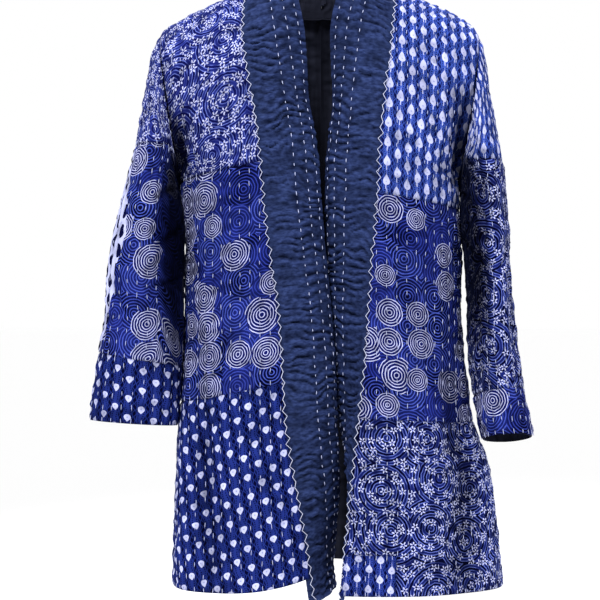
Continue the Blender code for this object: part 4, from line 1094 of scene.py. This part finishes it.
band = {
    "width": 0.085,
    "curl": 2.5,                 # the turn comes late, towards the free edge
    "hem": {-1: -0.856, 1: -0.85},
    "turnStartBack": -0.7,       # radians that the band is turned out of the cloth's plane, at its seam
    "turnEndBack": -1.0,         # and at its free edge
    "turnColumns": ("z", "rightStart", "rightEnd", "leftStart", "leftEnd"),
    "turn": [
        (-0.012, -0.54, -1.02, -0.54, -1.02),
        (-0.03, -0.46, -0.82, -0.46, -0.8),
        (-0.06, -0.3, -0.3, -0.3, -0.2),
        (-0.1, -0.02, 0.38, 0.05, 0.62),
        (-0.15, 0.22, 0.9, 0.28, 1.25),
        (-0.3, 0.22, 1.15, 0.45, 1.4),
        (-0.448, 0.28, 1.33, 0.82, 1.45),
        (-0.61, 0.24, 1.38, 1.18, 1.55),
        (-0.69, 0.27, 1.26, 1.38, 1.6),
        (-0.74, 0.3, 1.15, 1.45, 1.62),
        (-0.79, 0.45, 1.15, 1.47, 1.63),
        (-0.86, 0.52, 1.08, 1.48, 1.65),
    ],
    "neckSteps": 14,
    "dots": 40,                  # points between two stations, to measure the length
    "cell": 0.0022,
    "across": 34,                # mesh cells over the width
    "puckerHeight": 0.0030,
    "puckerPitch": 0.0104,
    "puckerBluntness": 0.7,
    "puckerSize": (0.05, 0.6, 1.3),       # least, usual and most, in shares of the height
    # irregularities: height, length along and across, and seed
    "wander": [(0.9, 0.045, 0.022, 71), (0.35, 0.016, 0.014, 75)],
    "puckerSizes": [(0.7, 0.014, 0.022, 81)],
    "crumples": [(0.0016, 0.0054, 0.014, 85), (0.0007, 0.0045, 0.0050, 91)],
    "rowPlaces": (0.008, 0.023, 0.041),       # rows of stitches, from the free edge
    "rowHold": 0.0032,           # a row holds the cloth down this far to both sides
    "rowHeld": 0.45,
    "rowDepth": 0.0006,
    "seamCalm": (0.012, 0.12),   # puckers are lower this near the seam and the free edge, down to a share
    "edgeCalm": (0.004, 0.35),
    "tuck": 0.004,               # the seam's edge lies under the patches
    "tuckDepth": 1.3,            # in thicknesses of the cloth
    # painted shade in the troughs of the puckers
    "paintedShade": 0.48,
    "paintedShadeRelief": 0.0036,
    "mostPaintedShade": 1.3,
    "stitchLift": 0.0005,
    "zigzagLift": 0.0016,
}
bandRows, zigzags = [], []     # rows of stitches on the band, and the zigzag beside it


def spline(values, places):       # smooth curve through equally numbered stations
    slopes = np.gradient(values, axis=0)
    low = np.clip(places.astype(int), 0, len(values) - 2)
    t = (places - low).reshape(-1, *[1] * (values.ndim - 1))
    return eased(t, 1, values[low], values[low + 1], slopes[low], slopes[low + 1])


def bandHalf(side):       # stations of the band's sewing line from the centre back to the hem
    steps = band["neckSteps"]
    neckPoints, neckNormals, _ = bodyGrid("back", side, [0.0], np.linspace(0.0, neckShare(side), steps + 1))
    neckNormals[0, 0, 0] = 0.0
    rows = np.arange(shape["armholeRows"] + len(shape["rows"]["front", side]))
    frontPoints, frontNormals, _ = bodyGrid("front", side, rows, np.array([0.0, 0.01]))
    way = unit(frontPoints[-1, 0] - frontPoints[-2, 0])
    bandEnd = frontPoints[-1, 0] + way * (frontPoints[-1, 0, 2] - band["hem"][side]) / -way[2]
    points = np.concatenate([neckPoints[0, :-1], frontPoints[:, 0], [bandEnd]])
    normals = np.concatenate([unit(neckNormals[0, :-1]), frontNormals[:, 0], frontNormals[-1:, 0]])
    backShare = 1 - np.arange(steps) / steps
    turns = []
    for end, backTurn in (("Start", band["turnStartBack"]), ("End", band["turnEndBack"])):
        column, heights = sideNames[side] + end, points[steps:, 2]
        downFront = smoothValue(band["turn"], band["turnColumns"], column, "z", heights)
        turns.append(np.concatenate([downFront[0] + (backTurn - downFront[0]) * backShare, downFront]))
    return points, normals, *turns


def unevenness(s, w, side, layers):       # some layers of roughness together
    return sum(
        height * roughness(s / along, w / across, seed + side)
        for height, along, across, seed in layers
    )


def bandRelief(s, w, side):       # short uneven puckers, held down along the rows of stitches
    ripple = s / band["puckerPitch"] + unevenness(s, w, side, band["wander"])
    least, usual, most = band["puckerSize"]
    size = np.clip(usual + unevenness(s, w, side, band["puckerSizes"]), least, most)
    fromEdge = band["width"] - w
    held = sum(fade(fromEdge, place, band["rowHold"]) for place in band["rowPlaces"])
    puckers = 2 * np.abs(np.sin(np.pi * ripple)) ** band["puckerBluntness"] - 1
    rise = band["puckerHeight"] * size * puckers * (1 - band["rowHeld"] * held)
    rise -= band["rowDepth"] * held
    rise += unevenness(s, w, side, band["crumples"])
    for away, (reach, calmest) in ((w, band["seamCalm"]), (fromEdge, band["edgeCalm"])):
        rise = rise * np.clip(away / reach, calmest, 1)
    return rise


def bandSurface(spot, normals, inward, first, last, shares):       # turned bit by bit from seam to edge
    grid, facings = [], []
    for index, share in enumerate(shares):
        turn = (first + (last - first) * share ** band["curl"])[:, None]
        if index:
            half = (share + shares[index - 1]) / 2
            step = (first + (last - first) * half ** band["curl"])[:, None]
            spot = spot + (inward * np.cos(step) - normals * np.sin(step)) * band["width"] / band["across"]
        grid.append(spot)
        facings.append(normals * np.cos(turn) + inward * np.sin(turn))
    return np.array(grid), np.array(facings)


def bandPiece(side, name, s, seamLine, normals, inward, first, last):
    shares = np.linspace(0, 1, band["across"] + 1)
    grid, facings = bandSurface(seamLine, normals, inward, first, last, shares)
    ones = np.ones((len(shares), len(s)))
    along, w = s * ones, (shares * band["width"])[:, None] * ones
    rise = bandRelief(along, w, side)
    grid[0] -= inward * band["tuck"] + normals * band["tuckDepth"] * cloth["wall"]
    outer = grid + facings * rise[:, :, None]
    # painted shade, deeper in the troughs of the puckers
    paintedShade = np.clip(band["paintedShade"] - rise / band["paintedShadeRelief"], 0, band["mostPaintedShade"])
    uv = np.stack([w, -along], axis=2)
    # the neck's inner side takes the black lining, which also paints the shade inside the back neck
    inside = blackLiningWithPaintedShade if name == "Neck" else navyBand
    piece = clothObject(f"{sideNames[side]}Band{name}", outer, facings, uv, paintedShade, navyBand, inside)
    flat = band["width"], s[-1] - s[0]
    declare(piece, f"band_{name.lower()}_{sideNames[side]}", flat, flat[0] * flat[1])
    for place in band["rowPlaces"]:
        column = int(round((1 - place / band["width"]) * band["across"]))
        facing = facings[column, 2:-2]
        bandRows.append((outer[column, 2:-2] + facing * band["stitchLift"], facing))
    if name == "Front":
        path = seamLine + normals * band["zigzagLift"]
        zigzags.append((path[2:-2], normals[2:-2], inward[2:-2]))


def buildBand():
    halves = {side: bandHalf(side) for side in (-1, 1)}
    linePoints, lineNormals = (np.concatenate([halves[-1][i][::-1], halves[1][i][1:]]) for i in (0, 1))
    lineWay = unit(np.gradient(linePoints, axis=0))
    lineNormals = unit(lineNormals - lineWay * np.sum(lineNormals * lineWay, axis=1)[:, None])
    lineInward = np.cross(lineWay, lineNormals)
    middle = len(halves[-1][0]) - 1
    for side in (-1, 1):
        part = np.s_[middle::-1] if side == -1 else np.s_[middle:]
        points, _, start, end = halves[side]
        dots = np.linspace(0, len(points) - 1, band["dots"] * (len(points) - 1) + 1)
        length = lengths(spline(points, dots))
        corner = length[band["dots"] * band["neckSteps"]]
        for name, low, high in (("Neck", 0.0, corner), ("Front", corner, length[-1])):
            s = np.linspace(low, high, round((high - low) / band["cell"]) + 1)
            places = np.interp(s, length, dots)
            seamLine, first, last = (spline(values, places) for values in (points, start, end))
            normals, inward = (unit(spline(values[part], places)) for values in (lineNormals, lineInward))
            bandPiece(side, name, s, seamLine, normals, inward, first, last)


buildBand()
print("band built")


# sewing

sewing = {
    # m from stitch to stitch, and sizes of a stitch
    "running": {"Pitch": 0.0163, "Length": 0.0084, "Thickness": 0.00088, "Material": thread},
    "band": {"Pitch": 0.0135, "Length": 0.0062, "Thickness": 0.0012, "Seed": 7, "Material": thread},
    "zigzag": {"Half Period": 0.0074, "Reach": 0.0027, "Thickness": 0.00045, "Seed": 9,
               "Material": zigzagThread},
    "tilt": 0.10,                 # radians that a stitch may lie askew
    "uneven": (0.72, 1.12),       # shares of the length
    "zigzagUneven": (0.45, 1.35),
    "kinds": {"Seed": "NodeSocketInt", "Material": "NodeSocketMaterial"},       # the other inputs are numbers
}


def pathObject(name, runs):       # rows as plain edges that carry the directions of the cloth
    edges, start = [], 0
    for run in runs:
        edges += [(start + i, start + i + 1) for i in range(len(run[0]) - 1)]
        start += len(run[0])
    mesh = bpy.data.meshes.new(name)
    mesh.from_pydata(np.concatenate([run[0] for run in runs]).tolist(), edges, [])
    for index, label in enumerate(("outward", "aside")[: len(runs[0]) - 1]):
        layer = mesh.attributes.new(label, "FLOAT_VECTOR", "POINT")
        layer.data.foreach_set("vector", np.concatenate([run[index + 1] for run in runs]).ravel())
    return placed(name, mesh)


def newTree(name, labels):
    tree = bpy.data.node_groups.new(name, "GeometryNodeTree")
    tree.interface.new_socket("Geometry", in_out="INPUT", socket_type="NodeSocketGeometry")
    for label in labels:
        kind = sewing["kinds"].get(label, "NodeSocketFloat")
        tree.interface.new_socket(label, in_out="INPUT", socket_type=kind)
    tree.interface.new_socket("Geometry", in_out="OUTPUT", socket_type="NodeSocketGeometry")
    given = tree.nodes.new("NodeGroupInput").outputs
    return tree, given, add(tree, "GeometryNodeMeshToCurve", {0: given["Geometry"]})


def finished(tree, given, made):
    whole = add(tree, "GeometryNodeRealizeInstances", {0: made})
    whole = add(tree, "GeometryNodeSetMaterial", {"Geometry": whole, "Material": given["Material"]})
    add(tree, "NodeGroupOutput", {0: whole})
    return tree


def stitchTree():       # dashes laid along each row
    tree, given, rows = newTree("runningStitch", ("Pitch", "Length", "Thickness", "Seed", "Material"))
    spots = {"Curve": rows, "Length": given["Pitch"]}
    spots = add(tree, "GeometryNodeResampleCurve", spots, mode="LENGTH")
    outward = add(tree, "GeometryNodeInputNamedAttribute", {"Name": "outward"}, data_type="FLOAT_VECTOR")
    align, random = "FunctionNodeAlignRotationToVector", "FunctionNodeRandomValue"
    turn = add(tree, align, {"Vector": add(tree, "GeometryNodeInputTangent")}, axis="X")
    turn = add(tree, align, {"Rotation": turn, "Vector": outward}, axis="Z", pivot_axis="X")
    tilt = {0: (0.0, 0.0, -sewing["tilt"]), 1: (0.0, 0.0, sewing["tilt"]), "Seed": given["Seed"]}
    tilt = add(tree, random, tilt, data_type="FLOAT_VECTOR")
    turn = add(tree, "FunctionNodeRotateRotation", {0: turn, 1: tilt}, rotation_space="LOCAL")
    long = {2: sewing["uneven"][0], 3: sewing["uneven"][1], "Seed": given["Seed"]}
    long = add(tree, random, long, out=1, data_type="FLOAT")
    long = add(tree, maths, {0: long, 1: given["Length"]}, operation="MULTIPLY")
    size = add(tree, "ShaderNodeCombineXYZ", {0: long, 1: given["Thickness"], 2: given["Thickness"]})
    dash = add(tree, "GeometryNodeMeshUVSphere", {"Segments": 5, "Rings": 4, "Radius": 0.5})
    dashes = {"Points": spots, "Instance": dash, "Rotation": turn, "Scale": size}
    return finished(tree, given, add(tree, "GeometryNodeInstanceOnPoints", dashes))


def zigzagTree():       # a thread that swings from side to side of the seam
    tree, given, rows = newTree("zigzagStitch", ("Half Period", "Reach", "Thickness", "Seed", "Material"))
    spots = {"Curve": rows, "Length": given["Half Period"]}
    spots = add(tree, "GeometryNodeResampleCurve", spots, mode="LENGTH")
    aside = add(tree, "GeometryNodeInputNamedAttribute", {"Name": "aside"}, data_type="FLOAT_VECTOR")
    uneven = {2: sewing["zigzagUneven"][0], 3: sewing["zigzagUneven"][1], "Seed": given["Seed"]}
    uneven = add(tree, "FunctionNodeRandomValue", uneven, out=1, data_type="FLOAT")
    index = add(tree, "GeometryNodeInputIndex")
    swing = worked(tree, maths, index, ("MODULO", 2.0), ("MULTIPLY_ADD", 2.0, -1.0))
    swing = worked(tree, maths, swing, ("MULTIPLY", uneven), ("MULTIPLY", given["Reach"]))
    shift = add(tree, vectorMaths, {0: aside, "Scale": swing}, operation="SCALE")
    moved = add(tree, "GeometryNodeSetPosition", {"Geometry": spots, "Offset": shift})
    section = add(tree, "GeometryNodeCurvePrimitiveCircle", {"Resolution": 6, "Radius": given["Thickness"]})
    thread = add(tree, "GeometryNodeCurveToMesh", {"Curve": moved, "Profile Curve": section})
    return finished(tree, given, thread)


def sewn(name, runs, tree, values):       # the tree's result as a plain mesh
    path = pathObject(name + "Path", runs)
    modifier = path.modifiers.new("sewing", "NODES")
    modifier.node_group = tree
    sockets = {item.name: item.identifier for item in tree.interface.items_tree if item.in_out == "INPUT"}
    for label, value in values.items():
        modifier[sockets[label]] = value
    shaped = path.evaluated_get(bpy.context.evaluated_depsgraph_get())
    mesh = bpy.data.meshes.new_from_object(shaped)
    mesh.name = name
    bpy.data.objects.remove(path, do_unlink=True)
    piece = placed(name, mesh)
    mesh.shade_smooth()
    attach(piece, "root")


running, zigzag = stitchTree(), zigzagTree()
half = len(runningRows) // 2
sewn("bodyRunningStitches", runningRows[:half], running, {**sewing["running"], "Seed": 3})
sewn("backAndSleeveRunningStitches", runningRows[half:], running, {**sewing["running"], "Seed": 4})
sewn("bandRunningStitches", bandRows, running, sewing["band"])
sewn("bandZigzag", zigzags, zigzag, sewing["zigzag"])
print("sewing done")


# camera, light and floor

view = {
    "place": (-0.031, -2.3, -0.448),       # of the camera, in m
    "lens": 97.98,              # mm, for a 36 mm sensor
    "target": (0, 0, -0.38),    # of the lamps
    "lamps": [                  # place and watts
        ("keyLight", (-0.5, -1.8, 2.0), 440),
        ("backLight", (1.1, 1.9, 1.9), 420),
    ],
    "cone": 40,                 # degrees
    "lampRadius": 0.22,         # soft edges of the shadows
    "floorZ": -1.02,
    "floorReach": 30.0,
}
camera = placed("camera", bpy.data.cameras.new("camera"))
camera.location = view["place"]
camera.rotation_euler = (math.radians(90), 0, 0)
camera.data.lens = view["lens"]
camera.data.sensor_width = 36
bpy.context.scene.camera = camera

for name, place, power in view["lamps"]:
    lamp = placed(name, bpy.data.lights.new(name, "SPOT"))
    lamp.data.energy = power
    lamp.data.spot_size = math.radians(view["cone"])
    lamp.data.spot_blend = 0.5
    lamp.data.shadow_soft_size = view["lampRadius"]
    lamp.location = place
    lamp.rotation_euler = (Vector(view["target"]) - Vector(place)).to_track_quat("-Z", "Y").to_euler()

world = bpy.data.worlds.new("paleStudio")
world.use_nodes = True
world.node_tree.nodes["Background"].inputs["Color"].default_value = (1, 1, 1, 1)
world.node_tree.nodes["Background"].inputs["Strength"].default_value = 1.0
bpy.context.scene.world = world
bpy.context.scene.view_settings.view_transform = "Standard"

floorMesh = bpy.data.meshes.new("paleFloor")
reach, floorZ = view["floorReach"], view["floorZ"]
floorCorners = [(x * reach, y * reach, floorZ) for x, y in ((-1, -1), (1, -1), (1, 1), (-1, 1))]
floorMesh.from_pydata(floorCorners, [], [(0, 1, 2, 3)])
paleFloor, _, floorShader = newMaterial("mattPaleFloor", rough=0.9, sheen=0.0)       # plain and all but white
floorShader.inputs["Base Color"].default_value = linear("#FEFEFE")
floorMesh.materials.append(paleFloor)
floor = placed("paleFloor", floorMesh)

for cut in cuts:
    print("cut", *cut)
